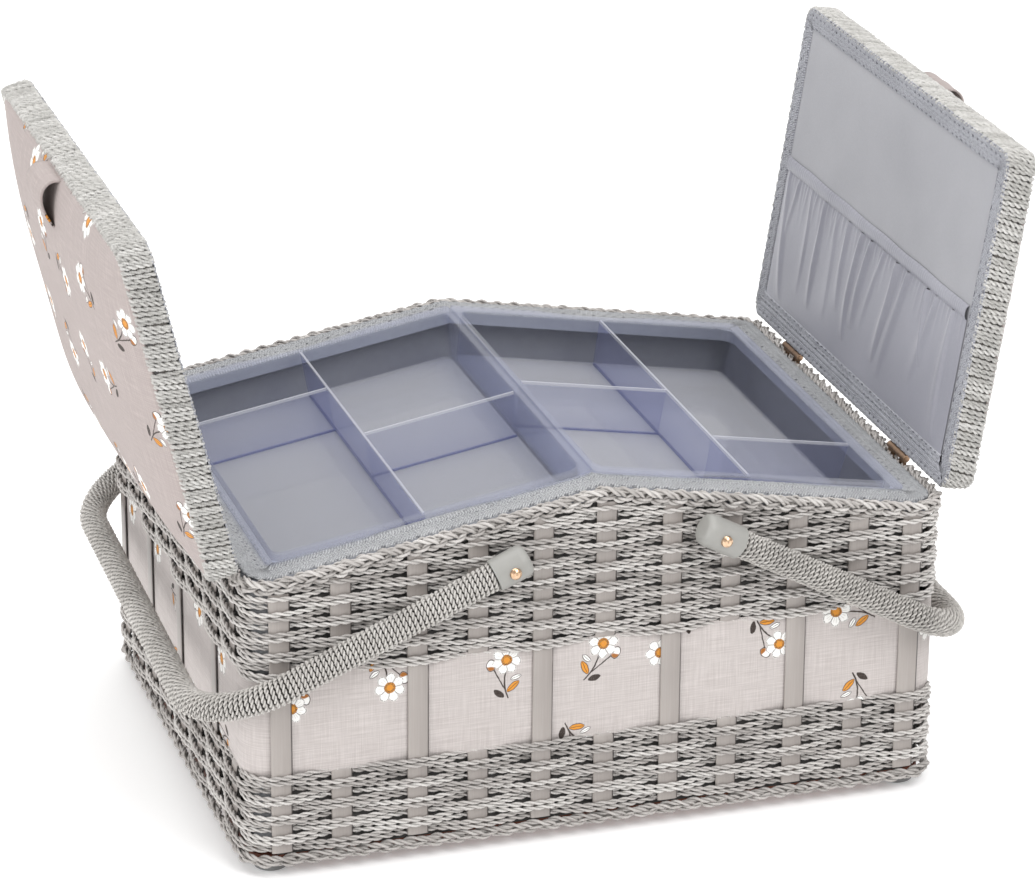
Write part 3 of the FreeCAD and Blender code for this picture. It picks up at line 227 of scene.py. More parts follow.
def print_material(name, low=(176, 168, 166), mid=(191, 184, 181), high=(204, 197, 195)):
    """Linen-look printed cotton with small loose sprigs: daisy heads, leaves and buds."""
    g = Mat(name)
    uv = g.scale(g.uv(), (1000.0, 1000.0, 0.0))
    x0, y0, _ = g.xyz(uv)
    cell = 54.0
    vn = g.t.nodes.new("ShaderNodeTexVoronoi")
    vn.voronoi_dimensions = "2D"
    vn.inputs["Scale"].default_value = 1.0
    vn.inputs["Randomness"].default_value = 0.5
    g.put(vn.inputs["Vector"], g.vec(x0 / cell, y0 / cell))
    px, py, _ = g.xyz(vn.outputs["Position"])
    ra, rb, rc = g.xyz(vn.outputs["Color"])
    lx, ly = x0 - px * cell, y0 - py * cell
    wob = g.noise(g.vec(x0 / 3.2, y0 / 3.2), 1.0, 2.0) - 0.5
    wob2 = g.noise(g.vec(y0 / 2.6 + 7.0, x0 / 2.6), 1.0, 2.0) - 0.5
    lx, ly = lx + wob * 0.9, ly + wob2 * 0.9
    ang = ra * TAU
    ca, sa = ang.cos(), ang.sin()
    size = rb * 0.25 + 1.22
    x = (lx * ca + ly * sa) / size
    y = (ly * ca - lx * sa) / size
    flip = rc.above(0.5, 0.001) * 2.0 - 1.0
    x = x * flip
    white = lin(244, 243, 240)
    ink = lin(52, 42, 38)
    amber = lin(214, 142, 46)
    deep = lin(160, 98, 34)
    grey = lin(176, 170, 165)
    # cloth ground
    warp = g.noise(g.vec(x0 * 1.5, y0 * 0.045), 1.0, 2.0, 0.6)
    weft = g.noise(g.vec(x0 * 0.045, y0 * 1.5), 1.0, 2.0, 0.6)
    slub = (warp - 0.5) * 0.9 + (weft - 0.5) * 1.1
    ground = g.ramp((slub + 0.5).clamp(), [(0.2, lin(*low)), (0.5, lin(*mid)), (0.82, lin(*high))])
    threads = ((x0 * (TAU / 0.62)).sin() * (y0 * (TAU / 0.62)).sin()) * 0.5 + 0.5
    col = g.mix(threads * 0.07, ground, lin(150, 140, 134))

    def lay(mask, colour):
        nonlocal col
        col = g.mix(mask, col, colour)

    # stem
    xs = (y + 4.0) * (y + 4.0) * 0.028 - 0.4
    stem = (x - xs).abs().below(0.34, 0.22) * y.below(0.0, 0.3) * y.above(-12.5, 0.3)
    # side stalk to the bud
    s2 = ((x * 0.86 + y * 0.5 + 4.2).abs()).below(0.26, 0.2) * x.below(-0.1, 0.3) * x.above(-6.2, 0.3)
    lay(stem.max(s2), ink)

    def leaf(cx, cy, a, long, wide, fill):
        c, s = math.cos(a), math.sin(a)
        dx, dy = x - cx, y - cy
        p = dx * c + dy * s
        q = dy * c - dx * s
        along = (1.0 - (p / long) * (p / long)).max(0.0)
        edge = along.pow(0.75) * wide
        body = q.abs().below(edge, 0.25) * p.abs().below(long, 0.05)
        rim = (q.abs() - edge).abs().below(0.17, 0.16) * p.abs().below(long, 0.05)
        vein = q.abs().below(0.12, 0.12) * p.abs().below(long * 0.85, 0.1)
        lay(body, fill)
        lay((rim.max(vein)) * 0.9, ink)

    leaf(3.4, -7.2, 0.75, 3.3, 1.35, amber)
    leaf(-2.4, -10.2, 2.5, 2.8, 1.15, ink)
    leaf(4.4, -3.2, 0.35, 2.5, 1.0, white)
    # bud
    bx, by = x + 6.6, y - 2.6
    br = (bx * bx * 1.0 + by * by * 0.55).sqrt()
    lay(br.below(1.9, 0.25), white)
    lay((br - 1.9).abs().below(0.16, 0.16), ink)
    lay(br.below(1.75, 0.2) * by.below(-0.5, 0.5), deep)
    # flower head
    fy = y - 4.6
    r = (x * x + fy * fy).sqrt()
    th = fy.atan2(x)
    wave = (th * 3.5 + 0.4).cos().abs()
    petal = (wave.pow(0.5) * 0.42 + 0.58) * 6.1
    lay(r.below(petal + 0.35, 0.7) * 0.55, white)
    lay(r.below(petal, 0.3), white)
    strokes = ((th * 24.5).sin().above(0.55, 0.3)) * r.above(2.4, 0.5) * r.below(petal * 0.78, 0.5)
    lay(strokes * 0.42, grey)
    split = wave.below(0.16, 0.14) * r.above(1.8, 0.3) * r.below(petal + 0.2, 0.4)
    lay(split * 0.8, ink)
    rim = (r - petal).abs().below(0.17, 0.2)
    grain = g.noise(g.vec(x0 * 1.1, y0 * 1.1), 1.0, 2.0)
    lay(rim * grain.above(0.47, 0.12) * 0.85, ink)
    lay(r.below(2.35, 0.25), amber)
    dots = g.noise(g.vec(x0 * 2.3, y0 * 2.3), 1.0, 1.0)
    lay(r.below(2.4, 0.25) * r.above(1.35, 0.4) * dots.above(0.5, 0.1), ink)
    # the print sinks into the threads
    col = g.mix(((warp - 0.5) * 0.8 + (weft - 0.5) * 0.8).abs() * 0.5, col, lin(205, 196, 189))
    hair = g.noise(g.vec(x0 * 3.0, y0 * 3.0), 1.0, 2.0)
    n1 = g.bump(threads * 0.6 + warp * 0.5 + weft * 0.5 + hair * 0.2, 0.00022, 0.8)
    g.set(Base_Color=col, Roughness=0.86, Normal=n1)
    g.bsdf.inputs["Sheen Weight"].default_value = 0.12
    g.bsdf.inputs["Sheen Roughness"].default_value = 0.5
    g.bsdf.inputs["Specular IOR Level"].default_value = 0.2
    return g.m


def satin_material(name, dark, light, rough=0.5, sheen=0.25, pitch=0.35):
    g = Mat(name)
    c = g.scale(g.coord(), (1000.0, 1000.0, 1000.0))
    x, y, z = g.xyz(c)
    broad = g.noise(g.coord(), 14.0, 2.0)
    thread = g.noise(g.vec(x * 0.25, y * 3.0, z * 0.25), 1.0, 2.0, 0.6)
    thread2 = g.noise(g.vec(x * 3.0, y * 0.25, z * 3.0), 1.0, 2.0, 0.6)
    f = (broad * 0.6 + thread * 0.2 + thread2 * 0.2).clamp()
    col = g.ramp(f, [(0.3, dark), (0.7, light)])
    g.set(Base_Color=col, Roughness=rough, Normal=g.bump(thread + thread2, 0.00012, 0.7))
    g.bsdf.inputs["Sheen Weight"].default_value = sheen
    g.bsdf.inputs["Sheen Roughness"].default_value = 0.35
    g.bsdf.inputs["Specular IOR Level"].default_value = 0.35
    return g.m


def gimp_material(name, dark, mid, light, rows, hole_shade_colour=(52, 53, 62), pitch=6.3):
    """Flat braid with rows of small openings, painted shade in the openings and in small pits. rows: (mm across, shift
    along, half length, half height, strength).
    """
    g = Mat(name)
    u, v, _ = g.xyz(g.uv())
    hole = None
    for k, (at, shift, ru, rv_, depth) in enumerate(rows):
        w1 = g.noise(g.vec(u * 0.16 + k * 7.3, float(k)), 1.0, 1.0) - 0.5
        q = u + w1 * 3.2
        cellx = (q / pitch + shift).frac() - 0.5
        du = cellx * (pitch / ru)
        dv = (v - at + w1 * 0.7) / rv_ - du * 0.22
        vary = g.noise(g.vec(u * (0.9 / pitch) + 3.1 * k, k * 1.7), 1.0, 0.0)
        blob = (du * du + dv * dv).sqrt().below(0.85, 0.7) * (vary.above(0.5, 0.5) * 0.75 + 0.25) * depth
        hole = blob if hole is None else hole.max(blob)
    yarn = g.noise(g.vec(u * 1.1, v * 1.9), 1.0, 2.0, 0.6)
    rib = (u * (TAU / 1.6) + v * 2.1).sin() * 0.5 + 0.5
    rib2 = (u * (TAU / 1.6) - v * 2.6 + 1.0).sin() * 0.5 + 0.5
    plait = g.mix((v * (TAU / 4.9)).sin().above(0.0, 0.3), g.vec(rib, rib, rib), g.vec(rib2, rib2, rib2))
    pl, _a, _b = g.xyz(plait)
    patch = g.noise(g.coord(), 60.0, 2.0)
    fleck = g.noise(g.vec(u * 2.2, v * 3.0), 1.0, 1.0).above(0.66, 0.08)
    col = g.ramp((yarn * 0.42 + patch * 0.25 + pl * 0.3).clamp(), [(0.25, dark), (0.5, mid), (0.78, light)])
    col = g.mix(fleck * 0.45, col, lin(230, 231, 234))
    # painted shade: small pits in the braid are darkened to a dark grey
    pit = g.noise(g.vec(u * 1.15 + 9.0, v * 1.5), 1.0, 2.0, 0.65)
    pits = pit.below(0.385, 0.06)
    col = g.mix(pits * 0.8, col, lin(76, 76, 82))
    # painted shade filling the openings of the braid
    col = g.mix(hole, col, lin(*hole_shade_colour))
    g.set(Base_Color=col, Roughness=0.75, Normal=g.bump(yarn * 0.5 + pl * 0.5 - hole * 1.1 - pits * 0.6, 0.0007, 1.0))
    return g.m


def plain_grain(name, dark, light, rough, scale, stretch=(1, 1, 1), bump=0.0001, spec=0.5, metal=0.0, rough_var=0.12, detail=4.0):
    g = Mat(name)
    c = g.scale(g.coord(), stretch)
    a = g.noise(c, scale, detail, 0.6)
    b = g.noise(c, scale * 4.3, 2.0, 0.6)
    col = g.ramp((a * 0.7 + b * 0.3).clamp(), [(0.3, dark), (0.72, light)])
    g.set(Base_Color=col, Metallic=metal, Roughness=(a - 0.5) * rough_var + rough, Normal=g.bump(b * 0.6 + a * 0.4, bump, 0.8))
    g.bsdf.inputs["Specular IOR Level"].default_value = spec
    return g.m


def slat_material(name, dark, light):
    """Split cane strip: long faint grain, a soft sheen, painted light that runs it from lighter at one edge to darker
    at the other, and a painted shadow line along one edge.
    """
    g = Mat(name)
    u, v, _ = g.xyz(g.uv())
    a = g.noise(g.vec(u * 22.0, v * 900.0), 1.0, 3.0, 0.6)
    b = g.noise(g.coord(), 26.0, 2.0)
    # painted light: the strip is lighter at one edge and darker at the other
    across = 0.5 - v * 60.0
    col = g.ramp((a * 0.34 + b * 0.34 + across * 0.34).clamp(), [(0.25, dark), (0.75, light)])
    # painted shadow line along one edge, broken up by noise
    edge = v.above(0.00515, 0.0006)
    broken = g.noise(g.vec(u * 60.0, 0.3), 1.0, 1.0).above(0.3, 0.2) * 0.55 + 0.4
    col = g.mix(edge * broken, col, lin(54, 48, 46))
    g.set(Base_Color=col, Roughness=(a - 0.5) * 0.15 + 0.38, Normal=g.bump(a, 0.00012, 0.7))
    g.bsdf.inputs["Specular IOR Level"].default_value = 0.5
    return g.m


def clear_plastic(name, tint, edge_tint, film=0.1, film_colour=(0.78, 0.8, 0.95, 1.0), foot_shade=0.0, foot_shade_colour=None, lip_highlight=0.0):
    """Thin clear moulded plastic: tinted see-through body, gloss by angle, faint flow streaks, a painted shade line
    along the foot of the walls and a painted highlight along the top lip.
    """
    g = Mat(name)
    t = g.t
    t.nodes.remove(g.bsdf)
    tr = t.nodes.new("ShaderNodeBsdfTransparent")
    lw = t.nodes.new("ShaderNodeLayerWeight")
    lw.inputs["Blend"].default_value = 0.32
    facing = S(g, lw.outputs["Facing"])
    flow = g.noise(g.scale(g.coord(), (1.0, 0.35, 1.0)), 60.0, 3.0, 0.6)
    colour = g.mix((facing * 0.85 + flow * 0.12).clamp(), tint, edge_tint)
    g.put(tr.inputs["Color"], colour)
    gl = t.nodes.new("ShaderNodeBsdfPrincipled")
    gl.inputs["Base Color"].default_value = film_colour
    gl.inputs["Roughness"].default_value = 0.09
    gl.inputs["Specular IOR Level"].default_value = 0.75
    gl.inputs["Coat Weight"].default_value = 0.6
    gl.inputs["Coat Roughness"].default_value = 0.04
    wave = g.noise(g.coord(), 22.0, 2.0)
    nrm = g.bump(wave * 0.7 + flow * 0.3, 0.0009, 0.3)
    g.put(gl.inputs["Normal"], nrm)
    lw2 = t.nodes.new("ShaderNodeLayerWeight")
    lw2.inputs["Blend"].default_value = 0.5
    g.put(lw2.inputs["Normal"], nrm)
    fac = S(g, lw2.outputs["Facing"]).pow(4.5) * 0.55 + film + flow * film * 0.8
    # depth below the flange, square to the sloping top; it places the painted shade line and the painted highlight
    ox, oy, oz = g.xyz(g.coord())
    depth = 0.20339 - (ox.abs() * 0.17021 + oz * 0.98541)
    # painted shade: past 26.8 mm down, the gloss layer turns more opaque in foot_shade_colour, grey on the tray and
    # dark blue on the dividers
    foot = depth.above(0.0268, 0.0008)
    # painted highlight: within 2.2 mm of the top, the gloss layer turns near white and more opaque
    top = depth.below(0.0022, 0.0006)
    if foot_shade_colour is not None:
        g.put(gl.inputs["Base Color"], g.mix(foot, g.mix(top, film_colour, (0.9, 0.905, 0.93, 1.0)), foot_shade_colour))
    fac = fac + foot * foot_shade + top * lip_highlight
    mix = t.nodes.new("ShaderNodeMixShader")
    g.put(mix.inputs[0], fac.clamp())
    t.links.new(tr.outputs[0], mix.inputs[1])
    t.links.new(gl.outputs[0], mix.inputs[2])
    t.links.new(mix.outputs[0], g.out.inputs["Surface"])
    return g.m


M = {}
M["cord"] = cord_material("cord_grey", lin(160, 155, 151), lin(210, 205, 201), lin(240, 237, 233), crease_shade=0.36)
M["cord_lid"] = cord_material("cord_lid", lin(182, 180, 176), lin(206, 204, 200), lin(226, 224, 221), crease_shade=0.12)
M["twine"] = cord_material("handle_twine", lin(152, 148, 144), lin(206, 202, 197), lin(236, 233, 229), crease_shade=0.55)
M["slat"] = slat_material("slat_grey", lin(139, 132, 128), lin(167, 160, 155))
M["print"] = print_material("printed_cotton")
# the lid covers and pull tabs use a darker copy of the band's print: painted shade for the lids
M["print_lid_shaded"] = print_material("printed_cotton_lid_shaded", (155, 144, 142), (168, 157, 154), (182, 171, 168))
M["lining"] = satin_material("lining_satin", lin(150, 150, 155), lin(169, 169, 173))
M["pocket"] = satin_material("pocket_satin", lin(140, 140, 149), lin(162, 162, 170), rough=0.4, sheen=0.3)
M["lining_box"] = satin_material("lining_box_satin", lin(152, 153, 158), lin(174, 175, 178), rough=0.6)
LID_DOTS = [(0.9, 0.0, 1.15, 0.75, 0.9), (4.0, 0.5, 1.25, 0.75, 0.85), (6.6, 0.2, 1.5, 0.45, 0.35), (8.6, 0.7, 1.5, 0.45, 0.35), (10.6, 0.35, 1.7, 0.5, 0.85)]
HINGE_DOTS = [(0.9, 0.0, 1.15, 0.75, 0.9), (4.0, 0.5, 1.25, 0.75, 0.85), (6.4, 0.2, 2.2, 0.35, 0.4), (8.2, 0.7, 2.2, 0.35, 0.4),
              (11.4, 0.35, 1.9, 0.5, 0.8), (13.2, 0.6, 2.2, 0.35, 0.4), (15.4, 0.1, 1.5, 0.55, 0.85)]
RIM_DOTS = [(0.5, 0.0, 1.5, 0.8, 0.7), (3.4, 0.4, 1.0, 0.5, 0.3), (6.2, 0.1, 1.0, 0.5, 0.4), (9.3, 0.5, 1.1, 0.8, 0.85), (10.9, 0.0, 0.9, 0.6, 0.5), (14.5, 0.3, 1.1, 0.6, 0.4)]
M["gimp"] = gimp_material("gimp_braid", lin(138, 139, 146), lin(172, 173, 180), lin(202, 203, 208), LID_DOTS)
M["gimp_hinge"] = gimp_material("gimp_hinge_braid", lin(142, 143, 151), lin(182, 183, 190), lin(212, 213, 218), HINGE_DOTS)
M["gimp_rim"] = gimp_material("gimp_rim_braid", lin(132, 133, 136), lin(170, 171, 173), lin(204, 205, 207), RIM_DOTS)
M["wood"] = plain_grain("base_wood", lin(96, 52, 38), lin(134, 80, 60), 0.6, 26.0, (0.15, 1, 1), 0.0002, 0.35)
M["board"] = plain_grain("card_board", lin(78, 76, 75), lin(100, 98, 97), 0.85, 60.0, (1, 1, 1), 0.0002, 0.2)
M["frame"] = plain_grain("frame_wood", lin(92, 88, 84), lin(118, 114, 109), 0.7, 24.0, (1, 0.15, 1), 0.0002, 0.3)
M["rim_frame"] = satin_material("rim_frame_cloth", lin(158, 161, 170), lin(180, 183, 190), rough=0.6)
M["cap"] = plain_grain("cap_plastic", lin(139, 138, 134), lin(154, 153, 149), 0.4, 18.0, (1, 1, 1), 0.00008, 0.5)
M["foot"] = plain_grain("foot_plastic", lin(98, 98, 98), lin(122, 122, 121), 0.45, 40.0, (1, 1, 1), 0.00008, 0.5)
M["brass"] = plain_grain("brass", lin(196, 160, 128), lin(236, 208, 180), 0.24, 90.0, (1, 1, 1), 0.00006, 0.5, metal=1.0)
M["hinge"] = plain_grain("hinge_brass", lin(128, 104, 86), lin(182, 152, 126), 0.36, 90.0, (1, 1, 1), 0.00008, 0.5, metal=1.0)
M["steel"] = plain_grain("steel", lin(150, 150, 152), lin(190, 190, 192), 0.35, 90.0, (1, 1, 1), 0.00005, 0.5, metal=1.0)
M["core"] = plain_grain("handle_core", lin(58, 54, 51), lin(80, 76, 72), 0.6, 30.0, (1, 0.2, 1), 0.0001, 0.3)
M["tray"] = clear_plastic("tray_plastic", (0.975, 0.977, 0.985, 1), (0.66, 0.69, 0.83, 1), 0.012, (0.74, 0.75, 0.82, 1.0), foot_shade=0.2, foot_shade_colour=(0.78, 0.78, 0.79, 1.0), lip_highlight=0.04)
M["divider"] = clear_plastic("divider_plastic", (0.955, 0.958, 0.985, 1), (0.70, 0.72, 0.87, 1), 0.03, (0.56, 0.59, 0.80, 1.0), foot_shade=0.6,
                             foot_shade_colour=(0.14, 0.16, 0.34, 1.0), lip_highlight=0.25)


# ---------------------------------------------------------------- mesh building
def make(name, verts, faces, mat, body, uv=None, attrs=None, smooth=True):
    """A piece from points in millimetres and one or more face arrays."""
    V = np.asarray(verts, np.float64) * 0.001
    if not isinstance(faces, (list, tuple)):
        faces = [faces]
    faces = [np.asarray(f, np.int64) for f in faces if len(f)]
    loops = np.concatenate([f.ravel() for f in faces])
    sizes = np.concatenate([np.full(len(f), f.shape[1]) for f in faces])
    starts = np.concatenate([[0], np.cumsum(sizes)[:-1]])
    me = bpy.data.meshes.new(name)
    me.vertices.add(len(V))
    me.vertices.foreach_set("co", V.astype(np.float32).ravel())
    me.loops.add(len(loops))
    me.loops.foreach_set("vertex_index", loops.astype(np.int32))
    me.polygons.add(len(sizes))
    me.polygons.foreach_set("loop_start", starts.astype(np.int32))
    me.update(calc_edges=True)
    me.polygons.foreach_set("use_smooth", np.full(len(sizes), smooth))
    if uv is not None:
        layer = me.uv_layers.new(name="UVMap")
        layer.data.foreach_set("uv", np.asarray(uv, np.float32)[loops].ravel())
    for k, v in (attrs or {}).items():
        a = me.attributes.new(k, "FLOAT", "POINT")
        a.data.foreach_set("value", np.asarray(v, np.float32))
    me.validate()
    me.materials.append(M[mat] if isinstance(mat, str) else mat)
    ob = bpy.data.objects.new(name, me)
    scene.collection.objects.link(ob)
    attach(ob, body)
    return ob


def grid_faces(nu, nv, close_u=False, close_v=False, flip=False, base=0):
    """Quads of a grid whose point (i, j) is number i*nv+j."""
    iu = np.arange(nu if close_u else nu - 1)
    iv = np.arange(nv if close_v else nv - 1)
    a, b = np.meshgrid(iu, iv, indexing="ij")
    a2, b2 = (a + 1) % nu, (b + 1) % nv
    q = np.stack([a * nv + b, a2 * nv + b, a2 * nv + b2, a * nv + b2], -1).reshape(-1, 4)
    if flip:
        q = q[:, ::-1]
    return q + base


def resample(P, U, step, closed):
    """Even spacing along a path, with its side vectors."""
    if closed:
        P = np.vstack([P, P[:1]])
        U = np.vstack([U, U[:1]])
    d = np.concatenate([[0], np.cumsum(np.linalg.norm(np.diff(P, axis=0), axis=1))])
    n = max(4, int(round(d[-1] / step)))
    s = np.linspace(0, d[-1], n + 1)
    if closed:
        s = s[:-1]
    Q = np.stack([np.interp(s, d, P[:, i]) for i in range(3)], 1)
    W = np.stack([np.interp(s, d, U[:, i]) for i in range(3)], 1)
    return Q, W, s, d[-1]


def tangents(P, closed):
    if closed:
        T = np.roll(P, -1, 0) - np.roll(P, 1, 0)
    else:
        T = np.gradient(P, axis=0)
    return T / np.maximum(np.linalg.norm(T, axis=1, keepdims=True), 1e-9)


class Bundle:
    """Collects twisted cords into one mesh."""

    def __init__(self):
        self.V, self.F, self.UV, self.T, self.I, self.n = [], [], [], [], [], 0

    def add(self, P, U, rc=1.45, lay=12.5, closed=False, step=1.5, sides=6, plies=2, tone=None, wander=0.0, flat=1.0, phase=None, spread=0.47, ply=0.56):
        P, U, s, L = resample(np.asarray(P, float), np.asarray(U, float), step, closed)
        T = tangents(P, closed)
        U = U - (U * T).sum(1, keepdims=True) * T
        N1 = U / np.maximum(np.linalg.norm(U, axis=1, keepdims=True), 1e-9)
        N2 = np.cross(T, N1)
        if wander:
            w1 = sum(rng.uniform(0.3, 1) * np.sin(TAU * s / L * max(1, round(L / w)) + rng.uniform(0, TAU)) for w in (31, 47, 83)) / 1.7
            w2 = sum(rng.uniform(0.3, 1) * np.sin(TAU * s / L * max(1, round(L / w)) + rng.uniform(0, TAU)) for w in (27, 53, 97)) / 1.7
            P = P + N1 * (w1 * wander)[:, None] + N2 * (w2 * wander * 0.6)[:, None]
        turns = L / lay
        if closed:
            turns = max(1, round(turns))
        ph = rng.uniform(0, TAU) if phase is None else phase
        phi = TAU * turns * s / L + ph
        if lay_noise:
            phi = phi + 0.35 * np.sin(TAU * s / L * max(1, round(L / 61.0)) + rng.uniform(0, TAU))
        tone = rng.uniform(0, 1) if tone is None else tone
        for j in range(plies):
            f = phi + TAU * j / plies
            a = rc * spread if plies > 1 else 0.0
            b = rc * ply if plies > 1 else rc
            C = P + a * (np.cos(f)[:, None] * N1 + np.sin(f)[:, None] * N2)
            k = np.arange(sides) * TAU / sides
            ang = k[None, :] + f[:, None]
            ring = C[:, None, :] + b * (np.cos(ang)[..., None] * N1[:, None, :] + flat * np.sin(ang)[..., None] * N2[:, None, :])
            V = ring.reshape(-1, 3)
            nu = len(P)
            self.V.append(V)
            self.F.append(grid_faces(nu, sides, closed, True, base=self.n))
            # u in centimetres along the ply, v round it (mirrored at half so that it closes)
            uu = np.repeat(s / 100.0 * 10, sides) + tone * 7.3 + j * 3.1
            vv = np.tile(np.abs(np.arange(sides) / sides * 2 - 1), nu) + tone * 3
            self.UV.append(np.stack([uu, vv], 1))
            self.T.append(np.full(len(V), tone) + (j - 0.5) * 0.18)
            # how far the point looks inward to the other ply; the cord shader paints shade into the crease by it
            inward = (-(np.cos(ang) * np.cos(f)[:, None] + np.sin(ang) * np.sin(f)[:, None])).clip(0, 1) if plies > 1 else np.zeros_like(ang)
            self.I.append(inward.ravel())
            self.n += len(V)

    def done(self, name, mat, body, slot="cord"):
        return make(name, np.vstack(self.V), np.vstack(self.F), mat, body, uv=np.vstack(self.UV),
                    attrs={"tone": np.concatenate(self.T), "inner": np.concatenate(self.I)})


lay_noise = True


class Ring:
    """Rounded rectangle: place, direction and outward side at arc length s, from the front left, anticlockwise from above."""

    def __init__(self, hx, hy, r, cx=0.0, cy=0.0):
        self.hx, self.hy, self.r, self.c = hx, hy, r, np.array([cx, cy])
        a, b, q = 2 * (hx - r), 2 * (hy - r), PI / 2 * r
        self.parts = np.cumsum([0, a, q, b, q, a, q, b, q])
        self.L = self.parts[-1]

    def at(self, s):
        s = np.mod(np.asarray(s, float), self.L)
        hx, hy, r = self.hx, self.hy, self.r
        P, T = np.zeros((len(s), 2)), np.zeros((len(s), 2))
        line = [((-(hx - r), -hy), (1, 0)), ((hx, -(hy - r)), (0, 1)), ((hx - r, hy), (-1, 0)), ((-hx, hy - r), (0, -1))]
        centre = [(hx - r, -(hy - r)), (hx - r, hy - r), (-(hx - r), hy - r), (-(hx - r), -(hy - r))]
        for k in range(4):
            m = (s >= self.parts[2 * k]) & (s < self.parts[2 * k + 1])
            d = s[m] - self.parts[2 * k]
            P[m] = np.array(line[k][0]) + d[:, None] * np.array(line[k][1])
            T[m] = line[k][1]
            m = (s >= self.parts[2 * k + 1]) & (s < self.parts[2 * k + 2])
            a = (s[m] - self.parts[2 * k + 1]) / max(r, 1e-9) + (-PI / 2 + k * PI / 2)
            P[m] = np.array(centre[k]) + r * np.stack([np.cos(a), np.sin(a)], 1)
            T[m] = np.stack([-np.sin(a), np.cos(a)], 1)
        N = np.stack([T[:, 1], -T[:, 0]], 1)
        return P + self.c, T, N

    def s_of(self, side, v):
        """Arc length of a place on a straight side: front x, right y, back x, left y."""
        p = self.parts
        return {"front": v + self.hx - self.r, "right": p[2] + v + self.hy - self.r,
                "back": p[4] + (self.hx - self.r) - v, "left": p[6] + (self.hy - self.r) - v}[side]


SLOPE, KNEE = 0.17273, 180.0


def roof(x, ridge):
    return ridge - SLOPE * np.minimum(np.abs(x), KNEE)


# ---------------------------------------------------------------- woven body
body_ring = Ring(196.5, 150.5, 16.5)
STRAY_FRONT = {-5: -0.8, -4: -3.0, -3: 3.6, -2: 1.8, -1: 2.1, 0: 2.1, 1: 3.9, 2: 2.2, 3: 5.0, 4: 4.9, 5: 0.5}
STRAY_LEFT = {-3: 3.0, -2: 7.0, -1: 11.0, 0: 10.0, 1: 9.5, 2: 7.0, 3: 5.0}
stakes = []
for k in range(-5, 6):
    x = 35.5 * k + STRAY_FRONT[k]
    stakes.append((body_ring.s_of("front", x), k % 2 != 0, "front", x))
for k in range(-4, 4):
    y = 35.5 * k + 17.75
    stakes.append((body_ring.s_of("right", y), k % 2 != 0, "right", y))
for k in range(5, -6, -1):
    stakes.append((body_ring.s_of("back", 35.5 * k), k % 2 == 0, "back", 35.5 * k))
for k in range(3, -5, -1):
    y = 35.5 * k + 17.75 + STRAY_LEFT.get(k, 0.0)
    stakes.append((body_ring.s_of("left", y), k % 2 != 0, "left", y))
stakes.sort(key=lambda a: a[0])
for a, b in zip(stakes, stakes[1:] + stakes[:1]):
    if a[1] == b[1]:
        print("stakes out of step", a, b)
ST = np.array([a[0] for a in stakes])
SG = np.array([1.0 if a[1] else -1.0 for a in stakes])


def over(s):
    """+1 where a row lies over an outer stake, -1 over an inner one, turning between them."""
    s = np.mod(s, body_ring.L)
    e = np.concatenate([[ST[-1] - body_ring.L], ST, [ST[0] + body_ring.L]])
    g = np.concatenate([[SG[-1]], SG, [SG[0]]])
    i = np.clip(np.searchsorted(e, s, side="right") - 1, 0, len(e) - 2)
    d = e[i + 1] - e[i]
    q = np.clip((s - e[i] - 4.5) / (d - 9.0), 0, 1)
    q = q * q * (3 - 2 * q)
    return g[i] * (1 - 2 * q)


MID, AMP = 2.75, 2.0
ring_s = np.arange(0, body_ring.L, 1.4)
RP, RT, RN = body_ring.at(ring_s)
UPV = np.array([0, 0, 1.0])


def ring_path(inset, z, s=None):
    """Points round the body: inset from the outer face and height, both arrays."""
    P, T, N = (RP, RT, RN) if s is None else body_ring.at(s)
    Q = np.zeros((len(P), 3))
    Q[:, :2] = P + N * (3.5 - inset)[:, None]
    Q[:, 2] = z
    return Q


CR = 1.47
low = Bundle()
W0 = over(ring_s)
for j in range(16):
    sgn = 1.0 if ((15 - j) // 2) % 2 == 0 else -1.0
    z = 15.5 + 2.93 * j + np.zeros_like(ring_s)
    low.add(ring_path(MID - AMP * sgn * W0, z), np.tile(UPV, (len(ring_s), 1)), rc=CR, lay=12.8, closed=True, wander=0.22)
lower = low.done("lower_weave_cords", "cord", "box")
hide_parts("lower_weave")

top = Bundle()
z0 = 116.5
for j in range(17):
    sgn = 1.0 if (j // 2) % 2 == 0 else -1.0
    z = z0 + 2.93 * j + np.zeros_like(ring_s)
    top.add(ring_path(MID - AMP * sgn * W0, z), np.tile(UPV, (len(ring_s), 1)), rc=CR, lay=12.8, closed=True, wander=0.24)
for j in range(17, 27):
    sgn = 1.0 if (j // 2) % 2 == 0 else -1.0
    zr = z0 + 2.93 * j
    xl = (196.0 - zr - 1.0) / SLOPE
    for side in ("front", "back"):
        lim = min(xl + 16.0, 178.0)
        xs = np.arange(-lim, lim + 0.1, 1.4)
        s = body_ring.s_of(side, xs)
        inset = MID - AMP * sgn * over(s)
        past = np.clip((np.abs(xs) - xl + 4) / 14.0, 0, 1)
        inset = inset * (1 - past) + 4.6 * past
        z = zr + 0 * xs
        z = np.minimum(z, roof(xs, 196.0) - 0.4 + 2.2 * past)
        P = ring_path(inset, z, s)
        top.add(P, np.tile(UPV, (len(xs), 1)), rc=CR, lay=12.8, wander=0.22)
upper = top.done("upper_weave_cords", "cord", "box")
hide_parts("upper_weave")

